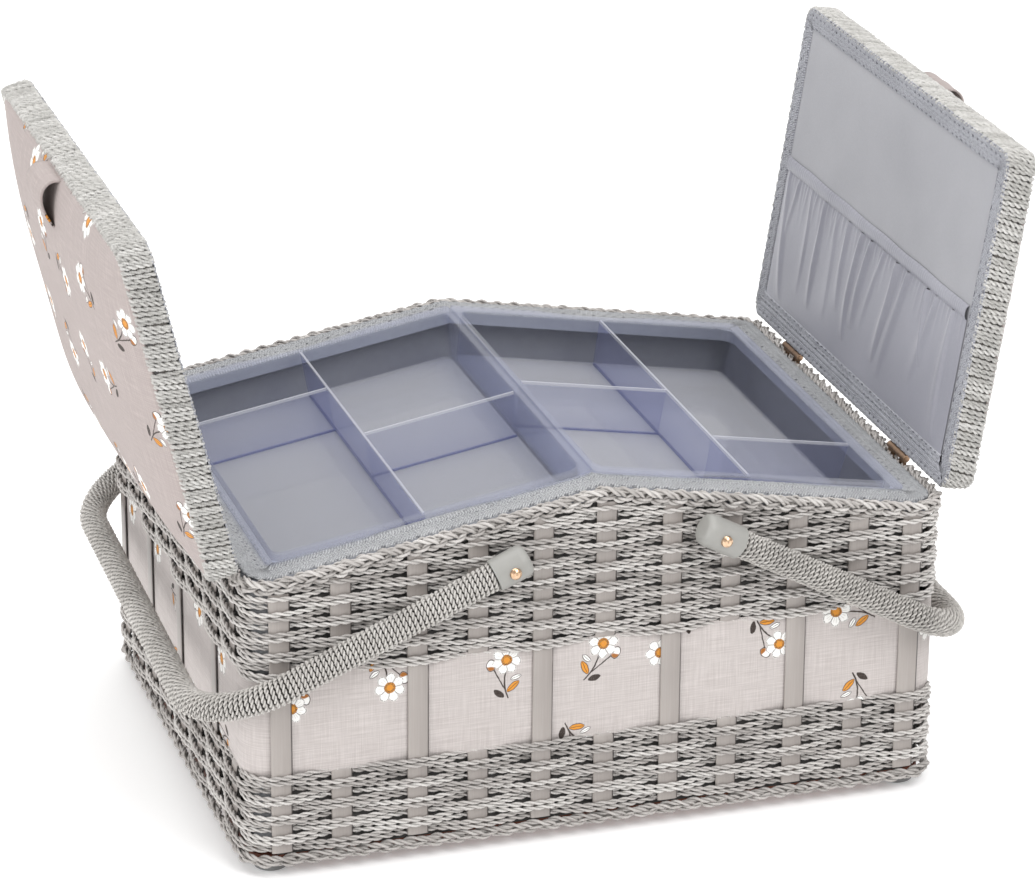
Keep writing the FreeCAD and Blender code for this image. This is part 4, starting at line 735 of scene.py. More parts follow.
# rim border: flat three-strand braid in front, a rope behind it, both along the rim's slope
rim = Bundle()
bs = np.arange(0, body_ring.L, 1.2)
BP, BT, BN = body_ring.at(bs)
hinge = np.clip(1 - (np.abs(np.abs(BP[:, 1]) - 82.0) - 14.0) / 5.0, 0, 1) * (np.abs(BP[:, 0]) > 190)
bx = BP[:, 0]
turns = round(body_ring.L / 31.0)
for j in range(3):
    f = TAU * turns * bs / body_ring.L + TAU * j / 3
    z = roof(bx, 205.0) - 4.55 - 0.8 * hinge + (2.75 - 1.1 * hinge) * np.sin(f)
    inset = 2.1 + 1.25 * np.sin(2 * f)
    rim.add(ring_path(inset, z, bs), np.tile(UPV, (len(bs), 1)), rc=1.75, lay=13.5, closed=True, step=1.4, wander=0.12)
turns = round(body_ring.L / 22.0)
for j in range(2):
    f = TAU * turns * bs / body_ring.L + PI * j
    z = roof(bx, 205.0) - 3.3 - 1.6 * hinge + 1.45 * np.sin(f)
    inset = 4.6 + 1.2 * np.cos(f)
    rim.add(ring_path(inset, z, bs), np.tile(UPV, (len(bs), 1)), rc=1.5, lay=11.0, closed=True, step=1.4, wander=0.1)
for side in ("left", "right"):
    for ya, yb in ((-134.0, -97.0), (-67.0, 67.0), (97.0, 134.0)):
        ys = np.arange(ya, yb + 0.1, 1.2)
        s = body_ring.s_of(side, ys)
        for j in range(2):
            f = TAU * ys / 18.0 + PI * j
            tuck = np.clip(np.minimum(ys - ya, yb - ys) / 6.0, 0, 1)
            z = 173.9 - 2.3 + 0.55 * np.sin(f) - 2.2 * (1 - tuck)
            rim.add(ring_path(3.2 + 1.35 * np.cos(f), z, s), np.tile(UPV, (len(ys), 1)), rc=1.45, lay=10.5, step=1.4, wander=0.1)
rimo = rim.done("rim_border_braid", "cord", "box")
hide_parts("rim_border")

# base braid
bb = Bundle()
turns = round(body_ring.L / 40.0)
for j in range(3):
    f = TAU * turns * bs / body_ring.L + TAU * j / 3
    z = 9.9 + 2.15 * np.sin(f) + 0 * bs
    inset = 2.3 + 1.3 * np.sin(2 * f)
    bb.add(ring_path(inset, z, bs), np.tile(UPV, (len(bs), 1)), rc=1.6, lay=14.5, closed=True, step=1.5, wander=0.1)
bbo = bb.done("base_braid_cords", "cord", "box")
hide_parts("base_braid")


# ---------------------------------------------------------------- slats
def slats(name, want_outer, node):
    V, F, UV, n = [], [], [], 0
    for s0, outer, side, v in stakes:
        if outer != want_outer:
            continue
        ztop = float(roof(np.array([v if side in ("front", "back") else 200.0]), 197.5)[0])
        z = np.arange(14.5, ztop, 1.45)
        band = np.clip((z - 57.5) / 3.5, 0, 1) * np.clip((118.5 - z) / 3.5, 0, 1)
        band = band * band * (3 - 2 * band)
        wave = np.cos(PI * (z - 15.5 - 1.465) / 5.86) if outer else -np.cos(PI * (z - 15.5 - 1.465) / 5.86)
        weave = 2.15 + 0.25 * wave
        inset = weave * (1 - band) + (1.25 if outer else 5.0) * band
        w = 5.8 + 0.12 * rng.uniform(-1, 1)
        lean = rng.uniform(-0.35, 0.35)
        # section: crowned outer face, round edges, flat inner face
        a = np.array([-1, -0.93, -0.72, -0.4, 0, 0.4, 0.72, 0.93, 1, 0.93, 0.5, 0, -0.5, -0.93]) * w
        crown = np.array([0.75, 0.4, 0.16, 0.04, 0, 0.04, 0.16, 0.4, 0.75, 1.15, 1.2, 1.2, 1.2, 1.15])
        s = s0 + lean * (z - 80) / 100.0
        P, T, N = body_ring.at(s)
        ring = np.zeros((len(z), len(a), 3))
        ring[:, :, :2] = (P + N * (3.5 - inset)[:, None])[:, None, :] + T[:, None, :] * a[None, :, None] - N[:, None, :] * crown[None, :, None]
        ring[:, :, 2] = z[:, None]
        V.append(ring.reshape(-1, 3))
        F.append(grid_faces(len(z), len(a), False, True, base=n))
        UV.append(np.stack([np.repeat(z, len(a)) * 0.001, np.tile(a, len(z)) * 0.001], 1))
        n += ring.shape[0] * ring.shape[1]
    ob = make(name, np.vstack(V), np.vstack(F), "slat", "box", uv=np.vstack(UV))
    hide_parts(node)
    return ob


slats("outer_slat_strips", True, "outer_slats")
slats("inner_slat_strips", False, "inner_slats")

# ---------------------------------------------------------------- fabric band
fs = np.arange(0, body_ring.L, 3.0)
fz = np.linspace(58.2, 117.8, 25)
FP, FT, FN = body_ring.at(fs)
edge_pull = np.clip((6 - np.minimum(fz - 58.2, 117.8 - fz)) / 6, 0, 1)
rip = 0.16 * np.sin(fs / 23.0)[:, None] * np.sin((fz - 58) / 19.0)[None, :] + 0.1 * np.sin(fs / 9.0 + 1)[:, None] * edge_pull[None, :]
ins = 2.95 + 0.9 * edge_pull[None, :] + rip
V = np.zeros((len(fs), len(fz), 3))
V[:, :, :2] = FP[:, None, :] + FN[:, None, :] * (3.5 - ins)[..., None]
V[:, :, 2] = fz[None, :]
uv = np.stack(np.broadcast_arrays((fs * 0.001)[:, None] + 0.0085, (fz * 0.001)[None, :] + 0.013), -1).reshape(-1, 2)
nv = len(fz)
# one seam in the cloth, at the back left corner
q = grid_faces(len(fs) + 1, nv)
V = np.concatenate([V, V[:1]], 0).reshape(-1, 3)
uv2 = uv.reshape(len(fs), nv, 2)
last = uv2[:1].copy()
last[..., 0] += body_ring.L * 0.001
uv = np.concatenate([uv2, last], 0).reshape(-1, 2)
band = make("fabric_band_cloth", V, q, "print", "box", uv=uv)
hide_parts("fabric_band")


# ---------------------------------------------------------------- braided trim (gimp)
def braid_relief(u, v, lift, phase=0.0):
    """Height of a flat braid with plaited ribs; u along and v across, from its outer edge, in mm."""
    U, V = np.meshgrid(u, v, indexing="ij")
    rib = np.abs(np.sin(PI * (V - 0.9) / 3.1)) ** 0.7
    wave = np.sin(TAU * U / 6.3 + TAU * V / 6.2 + phase) * 0.18 + 0.10 * np.sin(TAU * U / 3.15 - V * 1.4)
    h = lift * (rib * 0.7 + 0.3 + wave)
    w = float(v[-1])
    ends = np.clip(np.minimum(V, w - V) / 0.5, 0, 1)
    edge = 0.25 * np.sin(TAU * U / 6.3 + phase) * np.clip(1 - V / 1.2, 0, 1)
    return h * ends - (1 - ends) * 0.5 + edge, U, V


def nested(ring, s, offsets):
    """Points of smaller rings inside one ring, each taking the same share of every side and corner."""
    part = np.interp(s, ring.parts, np.arange(9))
    out = []
    for o in offsets:
        rr = Ring(ring.hx - o, ring.hy - o, max(ring.r - o, 0.6))
        q, _, _ = rr.at(np.minimum(np.interp(part, np.arange(9), rr.parts), rr.L - 1e-6))
        out.append(q)
    return np.stack(out, 1)


# rim gimp on the box: follows the roof
gr = Ring(146.8 + 0.0 + 46.0, 146.8, 12.9)
gs = np.arange(0, gr.L, 0.8)


def roof_strip(off0, off1, name):
    v = np.linspace(off0, off1, max(6, int((off1 - off0) / 0.45)) + 1)
    h, U, V = braid_relief(gs, v - off0, 0.5)
    q = nested(gr, gs, v)
    P = np.concatenate([q, (roof(q[..., 0], 203.95) + h)[..., None]], -1)
    return make(name, P.reshape(-1, 3), grid_faces(len(gs), len(v), True, flip=True), "gimp_rim", "box", uv=np.stack([U, V], -1).reshape(-1, 2))


rg = roof_strip(-0.2, 17.5, "rim_gimp_braid")
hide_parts("rim_gimp")


# ---------------------------------------------------------------- box lining
def lining_box():
    hx, hy, r = 189.9, 143.9, 10.0
    rr = Ring(hx, hy, r)
    s = np.arange(0, rr.L, 4.0)
    P, T, N = rr.at(s)
    ztop = roof(P[:, 0], 195.2)
    rows = 26
    V, UV = [], []
    # floor rings from the middle out, a small cove, then the wall
    levels = []
    for q in (0.02, 0.15, 0.3, 0.45, 0.6, 0.72, 0.82, 0.9, 0.95, 0.98):
        levels.append(("floor", q))
    for kx in range(rows + 1):
        levels.append(("wall", kx / rows))
    for kind, q in levels:
        if kind == "floor":
            X = P * q
            z = 12.6 + 0.45 * np.sin(X[:, 0] / 31.0 + 0.4) * np.sin(X[:, 1] / 27.0) + 0.25 * np.sin(X[:, 0] / 13.0 + X[:, 1] / 17.0)
            z = z + np.zeros(len(s))
            uvq = X * 0.001
        else:
            z = 12.9 + (ztop - 12.9) * q
            bow = 0.5 * np.sin(s / 37.0) * math.sin(PI * q) + 0.3 * np.sin(s / 12.0 + 3 * q) * (1 - abs(2 * q - 1))
            X = P - N * (0.35 + 0.35 * np.abs(bow))[:, None]
            uvq = np.stack([s * 0.001, z * 0.001], 1)
        V.append(np.column_stack([X, z]))
        UV.append(uvq)
    V = np.array(V)  # levels, ring
    nl, ns = V.shape[0], V.shape[1]
    V2 = V.transpose(1, 0, 2).reshape(-1, 3)
    UV2 = np.array(UV).transpose(1, 0, 2).reshape(-1, 2)
    F = grid_faces(ns, nl, True, flip=True)
    # close the middle
    mid = len(V2)
    V2 = np.vstack([V2, [[0, 0, 12.6]]])
    UV2 = np.vstack([UV2, [[0, 0]]])
    i = np.arange(ns)
    tri = np.stack([i * nl, ((i + 1) % ns) * nl, np.full(ns, mid)], 1)
    ob = make("box_lining_cloth", V2, [F, tri], "lining_box", "box", uv=UV2)
    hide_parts("box_lining")
    return ob


lb = lining_box()


# ---------------------------------------------------------------- lids
def lid_frame(side):
    lean = math.radians(76.8 if side == "left" else 81.3)
    sx = -1.0 if side == "left" else 1.0
    O = np.array([197.4 * sx, 0, 174.5])
    t = np.array([sx * math.cos(lean), 0, math.sin(lean)])
    Y = np.array([0, -sx, 0.0])
    n = np.array([sx * math.sin(lean), 0, -math.cos(lean)])
    return O, t, Y, n


def placed(side, Q):
    O, t, Y, n = lid_frame(side)
    Q = np.asarray(Q, float)
    return O + Q[..., 0:1] * t + Q[..., 1:2] * Y + Q[..., 2:3] * n


def turned(side, D):
    O, t, Y, n = lid_frame(side)
    D = np.asarray(D, float)
    return D[..., 0:1] * t + D[..., 1:2] * Y + D[..., 2:3] * n


T0, T1, HY = 1.2, 195.0, 149.0
TC, TH = (T0 + T1) / 2, (T1 - T0) / 2
LR = 10.0


def dome(t, y):
    a = np.clip(np.abs((t - TC) / (TH - 1.2)), 0, 1)
    b = np.clip(np.abs(y / (HY - 1.2)), 0, 1)
    return 15.7 + 15.6 * (1 - a ** 4) ** 0.8 * (1 - b ** 4) ** 0.8


for side in ("left", "right"):
    n_ = side + "_lid_"
    bodyn = side + "_lid"
    # lashed edge: cords laid side by side across the thickness
    lr = Ring(TH, HY, LR, TC, 0.0)
    lash = Bundle()
    lay_noise = False
    count = int(lr.L / 2.62)
    pos = (np.arange(count) + rng.uniform(-0.16, 0.16, count)) * lr.L / count
    slant0 = 3.4
    prof = np.array([[4.4, 1.9], [3.1, 0.95], [2.1, 0.45], [1.5, 1.1], [1.28, 3.0], [1.2, 8.0], [1.28, 13.0], [1.5, 14.9], [2.3, 15.9], [3.6, 16.2], [5.0, 15.3]])
    pd = np.concatenate([[0], np.cumsum(np.linalg.norm(np.diff(prof, axis=0), axis=1))])
    pq = np.linspace(0, pd[-1], 26)
    prof_i = np.stack([np.interp(pq, pd, prof[:, k]) for k in range(2)], 1)
    for c in range(count):
        sl = slant0 + rng.uniform(-1.3, 1.3)
        amt = rng.uniform(-0.25, 0.3)
        s = pos[c] + (prof_i[:, 1] / 16.0 - 0.5) * sl
        P2, T2, N2 = lr.at(s)
        inset = prof_i[:, 0] + amt * np.clip(prof_i[:, 1] / 4, 0, 1) * np.clip((16 - prof_i[:, 1]) / 4, 0, 1)
        Q = np.column_stack([P2 - N2 * inset[:, None], prof_i[:, 1]])
        Tq = np.column_stack([T2, np.zeros(len(s))])
        lash.add(placed(side, Q), turned(side, Tq), rc=1.42, lay=8.5 + rng.uniform(-1.6, 1.6), step=1.25, sides=5, spread=0.4, ply=0.68)
    lay_noise = True
    lo_ = lash.done(n_ + "edge_lashing", "cord_lid", bodyn)
    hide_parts(n_ + "edge_braid")

    # padded printed cover
    nr, na = ((64, 420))
    rho = 1 - (1 - np.linspace(0, 1, nr)) ** 1.9
    rho = rho[1:]
    cr = Ring(TH - 2.3, HY - 2.3, LR - 2.3)
    cs = np.linspace(0, cr.L, na, endpoint=False)
    CP, CT, CN = cr.at(cs)
    X = CP[None, :, 0] * rho[:, None] + TC
    Y = CP[None, :, 1] * rho[:, None]
    H = dome(X, Y)
    # distance to the seam, for the pull of the fabric at the edge
    dist = (1 - rho)[:, None] * np.linalg.norm(CP, axis=1)[None, :]
    pull = np.exp(-dist / 9.0)
    ripple = 0.28 * np.sin(cs / 4.1 + 0.9 * np.sin(cs / 17.0)) * (0.5 + 0.5 * np.sin(cs / 29.0 + 1.3))
    soft = 0.35 * np.sin(X / 33.0 + 0.7) * np.sin(Y / 41.0) + 0.15 * np.sin(X / 14.0 + Y / 19.0)
    H = H + pull * ripple[None, :] + soft * np.clip(dist / 25, 0, 1)
    rim_in = np.clip(1 - dist / 2.5, 0, 1)
    H = H - 0.9 * rim_in
    V = np.stack([X, Y, H], -1)
    # pattern mapped flat from the t and y position
    uvp = np.stack([X * 0.001 + (0.031 if side == "left" else 0.412), Y * 0.001 + (0.2 if side == "left" else 0.55)], -1)
    V = V.transpose(1, 0, 2).reshape(-1, 3)
    uvp = uvp.transpose(1, 0, 2).reshape(-1, 2)
    F = grid_faces(na, nr - 1, True)
    mid = len(V)
    hmid = float(dome(np.array([TC]), np.array([0.0]))[0]) + 0.15 * math.sin(TC / 14.0)
    V = np.vstack([V, [[TC, 0, hmid]]])
    uvp = np.vstack([uvp, [[TC * 0.001 + (0.031 if side == "left" else 0.412), 0.2 if side == "left" else 0.55]]])
    i = np.arange(na)
    tri = np.stack([i * (nr - 1), mid + 0 * i, ((i + 1) % na) * (nr - 1)], 1)
    # a turned-in skirt closes the pad under the seam
    base = len(V)
    Q, _, _ = cr.at(cs)
    skirt = []
    for ins_, zz in ((0.6, 14.62), (4.0, 14.6)):
        r3 = Ring(cr.hx - ins_, cr.hy - ins_, cr.r - ins_)
        part = np.interp(cs, cr.parts, np.arange(9))
        so = np.interp(part, np.arange(9), r3.parts)
        Qi, _, _ = r3.at(np.minimum(so, r3.L - 1e-6))
        skirt.append(np.column_stack([Qi[:, 0] + TC, Qi[:, 1], np.full(len(Qi), zz)]))
    V = np.vstack([V, skirt[0], skirt[1], [[TC, 0, 14.6]]])
    uvp = np.vstack([uvp, skirt[0][:, :2] * 0.001, skirt[1][:, :2] * 0.001, [[0, 0]]])
    rim_i = i * (nr - 1) + (nr - 2)
    j = (i + 1) % na
    f1 = np.stack([rim_i, base + i, base + j, rim_i[j]], 1)[:, ::-1]
    f2 = np.stack([base + i, base + na + i, base + na + j, base + j], 1)[:, ::-1]
    f3 = np.stack([base + na + i, base + na + j, np.full(na, base + 2 * na)], 1)
    cover = make(n_ + "cover_pad", placed(side, V), [F, f1, f2, tri, f3], "print_lid_shaded", bodyn, uv=uvp)
    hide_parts(n_ + "cover", n_ + "padding")

    # inner face: a braid border round the edge, wider along the hinge side, with square inner corners
    gsl = np.arange(0, lr.L, 0.75)
    gv = np.linspace(0.0, 11.6, 29)
    hg, Ug, Vg = braid_relief(gsl, gv, 0.5)
    qg = np.zeros(Ug.shape + (2,))
    part = np.interp(gsl, lr.parts, np.arange(9))
    for i_, o_ in enumerate(gv):
        f_ = o_ / 11.6
        rr3 = Ring(TH - 1.2 - o_, HY - 1.2 - o_, (LR - 1.2) * (1 - f_) ** 1.3 + 0.7)
        qq, _, _ = rr3.at(np.minimum(np.interp(part, np.arange(9), rr3.parts), rr3.L - 1e-6))
        qg[:, i_] = qq
    Pg = np.stack([qg[..., 0] + TC, qg[..., 1], 0.12 - hg], -1)
    # along the hinge side this ring lies under the wider braid below
    g1 = make(n_ + "gimp_border", placed(side, Pg.reshape(-1, 3)), grid_faces(len(gsl), len(gv), True, flip=True), "gimp", bodyn,
              uv=np.stack([Ug, Vg], -1).reshape(-1, 2))
    u = np.arange(-HY + 1.4, HY - 1.4, 0.75)
    gw = np.linspace(0.0, 16.8, 41)
    hw, Uw, Vw = braid_relief(u, gw, 0.55, 1.0)
    # mitred ends: the braid shortens by as much as it is deep
    half = (HY - 1.8) - np.clip(Vw, 0, 11.6) * 1.0 + np.where(Vw < 4.5, -(4.5 - Vw) * 1.1, 0.0)
    Yw = Uw / u[-1] * half
    Pw = np.stack([2.1 + Vw, Yw, 0.0 - hw - 0.25], -1)
    g2 = make(n_ + "gimp_hinge_rows", placed(side, Pw.reshape(-1, 3)), grid_faces(len(u), len(gw), flip=True), "gimp_hinge", bodyn,
              uv=np.stack([Yw, Vw], -1).reshape(-1, 2))
    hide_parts(n_ + "inner_gimp")

    # lining: thin card wrapped in satin, edges tucked under the gimp
    nt, ny = 46, 68
    tt = np.linspace(16.5, 184.6, nt)
    yy = np.linspace(-138.6, 138.6, ny)
    TT, YY = np.meshgrid(tt, yy, indexing="ij")
    e = np.minimum(np.minimum(TT - 16.5, 184.6 - TT) / 9, np.minimum(YY + 138.6, 138.6 - YY) / 9).clip(0, 1)
    Hh = 0.95 - 0.75 * (1 - (1 - e) ** 2) - 0.12 * np.sin(TT / 21.0) * np.sin(YY / 33.0) * e
    Hh = Hh - 0.06 * np.sin(YY / 7.0 + TT / 30) * (1 - e)
    Pl = placed(side, np.stack([TT, YY, Hh], -1).reshape(-1, 3))
    uvl = np.stack([TT, YY], -1).reshape(-1, 2) * 0.001
    li = make(n_ + "lining_cloth", Pl, grid_faces(nt, ny, flip=True), "lining", bodyn, uv=uvl)
    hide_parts(n_ + "lining")

    # gathered pocket: narrow gathers at the hem join into broad soft folds that die away at the bottom
    npt, npy = ((96, 680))
    tt = np.linspace(16.8, 96.6, npt)
    yy = np.linspace(-134.5, 134.5, npy)
    TT, YY = np.meshgrid(tt, yy, indexing="ij")
    q = (TT - 16.8) / (96.6 - 16.8)
    prs = np.random.default_rng(7 if side == "left" else 8)
    fold = np.zeros_like(TT)
    slope = -1.0 if side == "left" else 1.0
    # broad folds
    y_at = -128.0
    while y_at < 131:
        step_ = prs.uniform(9, 31)
        lean_ = slope * prs.uniform(-32, 15)
        wig = prs.uniform(-4, 4)
        centre = y_at + lean_ * (1 - q) ** 1.2 + wig * np.sin(q * PI)
        amp = 1.0 + 4.4 * prs.uniform(0, 1) ** 1.5
        wl = (prs.uniform(1.3, 2.1) + prs.uniform(2.2, 5.6) * np.sin(PI * np.clip(1.02 - q, 0, 1) * 0.62))
        wr = (prs.uniform(1.0, 1.7) + prs.uniform(0.9, 2.6) * np.clip(1 - q, 0, 1))
        d_ = YY - centre
        w_ = np.where(d_ < 0, wl, wr)
        low = prs.uniform(0.0, 0.75)
        fade = np.clip((q - low * 0.6) / 0.34, 0, 1) ** 0.8
        fold = np.maximum(fold, amp * np.exp(-np.abs(d_ / w_) ** 1.7) * fade) + 0.25 * np.minimum(fold, amp * np.exp(-(d_ / w_) ** 2) * fade)
        y_at += step_
    # small gathers under the hem
    y_at = -131.0
    fine = np.zeros_like(TT)
    while y_at < 133:
        reach = prs.uniform(0.10, 0.36)
        centre = y_at + slope * prs.uniform(-16, 5) * (1 - q)
        w_ = prs.uniform(0.9, 1.5) + 3.2 * (1 - q)
        fade = np.clip((q - (1 - reach)) / reach, 0, 1) ** 0.8
        fine += prs.uniform(0.5, 1.1) * np.exp(-((YY - centre) / w_) ** 2) * fade
        y_at += prs.uniform(3.4, 7.4)
    side_e = np.clip((134.5 - np.abs(YY)) / 5.0, 0, 1) ** 0.7
    bot_e = np.clip(q / 0.06, 0, 1) ** 0.7
    belly = 0.55 * np.sin(PI * np.clip(q, 0, 1)) ** 0.7 + 0.35 * np.sin(YY / 37.0 + 1.0) * np.sin(PI * q)
    top_e = 1 - 0.35 * np.clip((q - 0.95) / 0.05, 0, 1)
    H = 0.22 + (0.25 + fold + fine * 0.8 + np.maximum(belly, 0)) * side_e * bot_e * top_e
    H = 4.6 * (1 - np.exp(-H / 4.6)) * 1.1
    H = H * (1 - 0.45 * np.clip((np.abs(YY) - 112) / 14, 0, 1))     # flatter over the tray flanges
    if side == "left":
        H = H * 0.6      # lies flatter, so that the lid shuts over the dividers
    Pp = placed(side, np.stack([TT, YY, -H], -1).reshape(-1, 3))
    uvq = np.stack([TT, YY * 1.15], -1).reshape(-1, 2) * 0.001
    po = make(n_ + "pocket_cloth", Pp, grid_faces(npt, npy, flip=True), "pocket", bodyn, uv=uvq)
    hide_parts(n_ + "pocket")
    # elastic hem: a narrow ruched channel standing a little proud
    nh, nw = 13, (760)
    ee = np.linspace(95.9, 104.4, nh)
    yy = np.linspace(-134.2, 134.2, nw)
    EE, YY = np.meshgrid(ee, yy, indexing="ij")
    p = (EE - 95.9) / 8.5
    bulge = np.sin(PI * p) ** 0.35
    ruche = 0.30 * np.sin(YY * TAU / 2.5 + 1.9 * np.sin(YY / 7.0)) * (0.6 + 0.4 * np.sin(YY / 3.7)) + 0.12 * np.sin(YY * TAU / 1.2 + 2 * np.sin(YY / 5.0))
    hem = np.clip(np.minimum(p / 0.10, (1 - p) / 0.04), 0, 1)
    pinch = 0.45 * (np.exp(-((p - 0.14) / 0.05) ** 2) + 0.6 * np.exp(-((p - 0.9) / 0.04) ** 2))
    H = 0.15 + (1.75 + ruche * (1 - 0.7 * np.exp(-((p - 0.5) / 0.5) ** 8)) - pinch) * bulge * hem ** 0.5
    EE2 = EE + 0.25 * np.sin(YY / 9.0) + 0.12 * np.sin(YY * TAU / 4.0) * (2 * p - 1)
    Pe = placed(side, np.stack([EE2, YY, -H], -1).reshape(-1, 3))
    el = make(n_ + "pocket_hem", Pe, grid_faces(nh, nw, flip=True), "pocket", bodyn, uv=np.stack([EE, YY], -1).reshape(-1, 2) * 0.001)
    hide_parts(n_ + "pocket_elastic")

    # pull tab: a short strip of the printed cloth, doubled, its ends caught in the edge and on the cover
    tprof = np.array([[189.6, 15.6], [191.6, 18.0], [193.0, 21.6], [192.6, 25.6], [190.2, 29.0], [186.6, 31.2], [181.6, 32.1], [176.4, 31.6], [171.6, 30.2], [167.4, 28.6]])
    td = np.concatenate([[0], np.cumsum(np.linalg.norm(np.diff(tprof, axis=0), axis=1))])
    nu_, nv_ = 46, 17
    tq_ = np.linspace(0, td[-1], nu_)
    pt = np.stack([np.interp(tq_, td, tprof[:, k]) for k in range(2)], 1)
    for _ in range(6):
        pt[1:-1] = (pt[:-2] + pt[1:-1] * 2 + pt[2:]) / 4
    tg = np.gradient(pt, axis=0)
    tg /= np.linalg.norm(tg, axis=1, keepdims=True)
    nrm2 = np.stack([tg[:, 1], -tg[:, 0]], 1)            # outward from the loop
    wv = np.linspace(-1, 1, nv_)
    hw_ = 17.3 + 0.5 * np.sin(np.linspace(0, PI, nu_))
    ruck = 0.25 * np.sin(wv[None, :] * 7.0 + 1.0) * np.sin(np.linspace(0, PI, nu_))[:, None] - 0.5 * (wv[None, :] ** 2) * np.sin(np.linspace(0, PI, nu_))[:, None]
    outer = pt[:, None, :] + nrm2[:, None, :] * ruck[..., None]
    inner = outer - nrm2[:, None, :] * 1.1
    Wd = hw_[:, None] * wv[None, :]
    Vt = np.stack([outer[..., 0], Wd, outer[..., 1]], -1)
    Vi = np.stack([inner[..., 0], Wd * 0.985, inner[..., 1]], -1)
    VV = np.concatenate([Vt, Vi[:, ::-1]], 1)
    uu_ = np.broadcast_to(tq_[:, None], Wd.shape)
    uvt = np.stack([uu_ * 0.001 + 0.3, Wd * 0.001 + 0.1], -1)
    uvt = np.concatenate([uvt, uvt[:, ::-1]], 1)
    tab = make(n_ + "pull_tab_loop", placed(side, VV.reshape(-1, 3)), grid_faces(nu_, 2 * nv_, False, True), "print_lid_shaded", bodyn, uv=uvt.reshape(-1, 2))
    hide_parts(n_ + "pull_tab")


# ---------------------------------------------------------------- handles
BAILS = {  # pivot x, z, hang, reach and bend at the local -y corner and at the +y corner, start of the winding
    "left": (55.9, 170.8, 23.6, 175.5, 48.0, 183.0, 50.0, 9.9),
    "right": (61.8, 174.4, 28.5, 173.5, 50.0, 172.0, 50.0, 12.2),
}


def handle(side):
    sx = -1.0 if side == "left" else 1.0
    px, pz, hang, ra, ba, rz, bz, start = BAILS[side]
    hang = math.radians(hang)
    O = np.array([px * sx, 0, pz])
    X = np.array([sx * math.cos(hang), 0, -math.sin(hang)])
    Y = np.array([0, sx * 1.0, 0.0])
    Z = np.cross(X, Y)
    leg = 164.6
    pts, side_v = [], []
    lie = math.atan2(2 * leg, rz - ra)
    ux, uy = math.cos(lie), math.sin(lie)
    ta, tz = ba * math.tan(lie / 2), bz * math.tan((PI - lie) / 2)
    for x in np.arange(start, ra - ta, 1.0):
        pts.append((x, -leg)); side_v.append((0, -1))
    for a in np.linspace(-PI / 2, lie - PI / 2, 70):
        pts.append((ra - ta + ba * math.cos(a), -leg + ba + ba * math.sin(a))); side_v.append((math.cos(a), math.sin(a)))
    bar = math.hypot(2 * leg, rz - ra)
    for q_ in np.arange(ta + 1.0, bar - tz, 1.0):
        pts.append((ra + q_ * ux, -leg + q_ * uy)); side_v.append((uy, -ux))
    for a in np.linspace(lie - PI / 2, PI / 2, 70):
        pts.append((rz - tz + bz * math.cos(a), leg - bz + bz * math.sin(a))); side_v.append((math.cos(a), math.sin(a)))
    for x in np.arange(start, rz - tz, 1.0)[::-1]:
        pts.append((x, leg)); side_v.append((0, 1))
    P = np.array(pts); Sd = np.array(side_v)
    d = np.concatenate([[0], np.cumsum(np.linalg.norm(np.diff(P, axis=0), axis=1))])
    keep = np.concatenate([[True], np.diff(d) > 1e-6])
    P, Sd, d = P[keep], Sd[keep], d[keep]
    L = d[-1]
    pitch = 2.75
    turns = L / pitch
    seg = 34
    n = int(turns * seg)
    s = np.linspace(0, L, n)
    C2 = np.stack([np.interp(s, d, P[:, k]) for k in range(2)], 1)
    S2 = np.stack([np.interp(s, d, Sd[:, k]) for k in range(2)], 1)
    S2 /= np.linalg.norm(S2, axis=1, keepdims=True)
    C3 = O + C2[:, 0:1] * X + C2[:, 1:2] * Y
    N1 = S2[:, 0:1] * X + S2[:, 1:2] * Y
    N2 = np.tile(Z, (n, 1))
    ph = TAU * s / pitch
    R = 8.0 - 1.28
    Pw = C3 + R * (np.cos(ph)[:, None] * N1 + np.sin(ph)[:, None] * N2)
    out = np.cos(ph)[:, None] * N1 + np.sin(ph)[:, None] * N2
    b = Bundle()
    b.add(Pw, out, rc=1.32, lay=5.85, step=1.28, sides=5, wander=0.0, spread=0.44, ply=0.6)
    ob = b.done(side + "_handle_twine", "twine", side + "_handle", slot="handle_wrap")
    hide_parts(side + "_handle_wrap")


for side in ("left", "right"):
    handle(side)

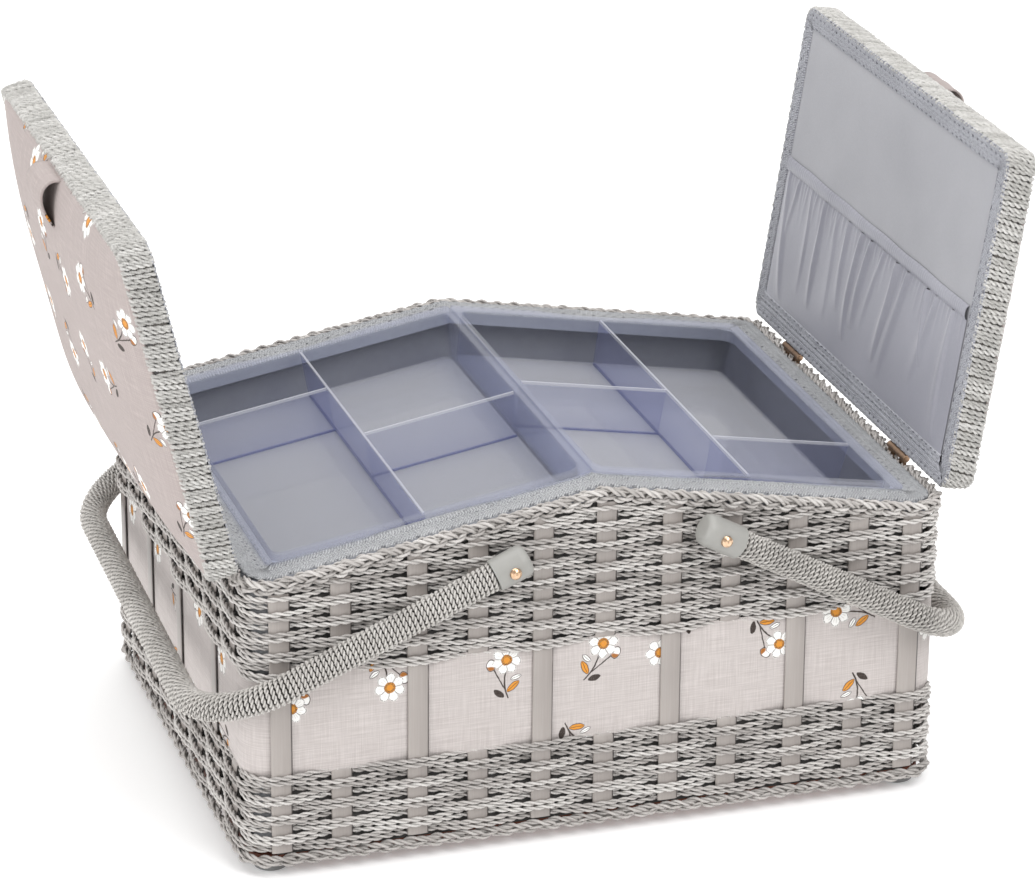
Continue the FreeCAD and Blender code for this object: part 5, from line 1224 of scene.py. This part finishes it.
# ---------------------------------------------------------------- carried-over CAD nodes
FINISH = {
    "base_board": "wood", "feet": "foot", "foot_screws": "steel", "front_wall_board": "board", "back_wall_board": "board",
    "left_wall_board": "board", "right_wall_board": "board", "left_rim_frame": "rim_frame", "right_rim_frame": "rim_frame",
    "hinge_box_leaves": "hinge", "hinge_pins": "hinge", "hinge_box_screws": "hinge", "handle_rivets": "brass", "rivet_washers": "steel",
    "left_tray": "tray", "right_tray": "tray", "left_tray_dividers": "divider", "right_tray_dividers": "divider",
}
for side in ("left", "right"):
    FINISH.update({side + "_lid_frame": "frame", side + "_lid_board": "board", side + "_lid_hinge_leaves": "hinge",
                   side + "_lid_hinge_screws": "hinge", side + "_handle_core": "core", side + "_handle_end_caps": "cap"})
for name, mat in FINISH.items():
    ob = NODES[name]
    ob.data.materials.clear()
    ob.data.materials.append(M[mat])
for name, ob in NODES.items():
    if name not in FINISH and not ob.hide_render:
        print("node without finish", name)

# ---------------------------------------------------------------- floor, light, world
g = Mat("studio_floor")
nz = g.noise(g.coord(), 3.0, 2.0)
g.set(Base_Color=g.ramp(nz, [(0.3, (0.9, 0.9, 0.9, 1)), (0.7, (0.93, 0.93, 0.93, 1))]), Roughness=0.9)
g.bsdf.inputs["Specular IOR Level"].default_value = 0.1
g.bsdf.inputs["Emission Color"].default_value = (1, 1, 1, 1)
g.bsdf.inputs["Emission Strength"].default_value = 0.22
bpy.ops.mesh.primitive_plane_add(size=14, location=(0, 0, 0))
floor = bpy.context.object
floor.name = "floor"
floor.data.materials.append(g.m)

world = bpy.data.worlds.new("world")
scene.world = world
world.use_nodes = True
bg = world.node_tree.nodes["Background"]
bg.inputs["Color"].default_value = (1, 1, 1, 1)
bg.inputs["Strength"].default_value = 0.66


def area_light(name, loc, target, size, power, colour=(1, 1, 1)):
    d = bpy.data.lights.new(name, "AREA")
    d.shape = "RECTANGLE"
    d.size, d.size_y = size
    d.energy = power
    d.color = colour
    o = bpy.data.objects.new(name, d)
    o.location = loc
    o.rotation_mode = "QUATERNION"
    o.rotation_quaternion = (Vector(target) - Vector(loc)).to_track_quat("-Z", "Y")
    scene.collection.objects.link(o)
    return o


area_light("key", (0.9, -1.9, 2.3), (0, 0, 0.15), (1.8, 1.8), 46)
area_light("top", (-0.2, 0.5, 2.8), (0, 0, 0.1), (2.6, 2.6), 44)
area_light("fill", (-2.6, -0.7, 0.8), (0, 0, 0.12), (1.6, 1.6), 29)
scene.view_settings.view_transform = "Standard"
scene.view_settings.look = "None"
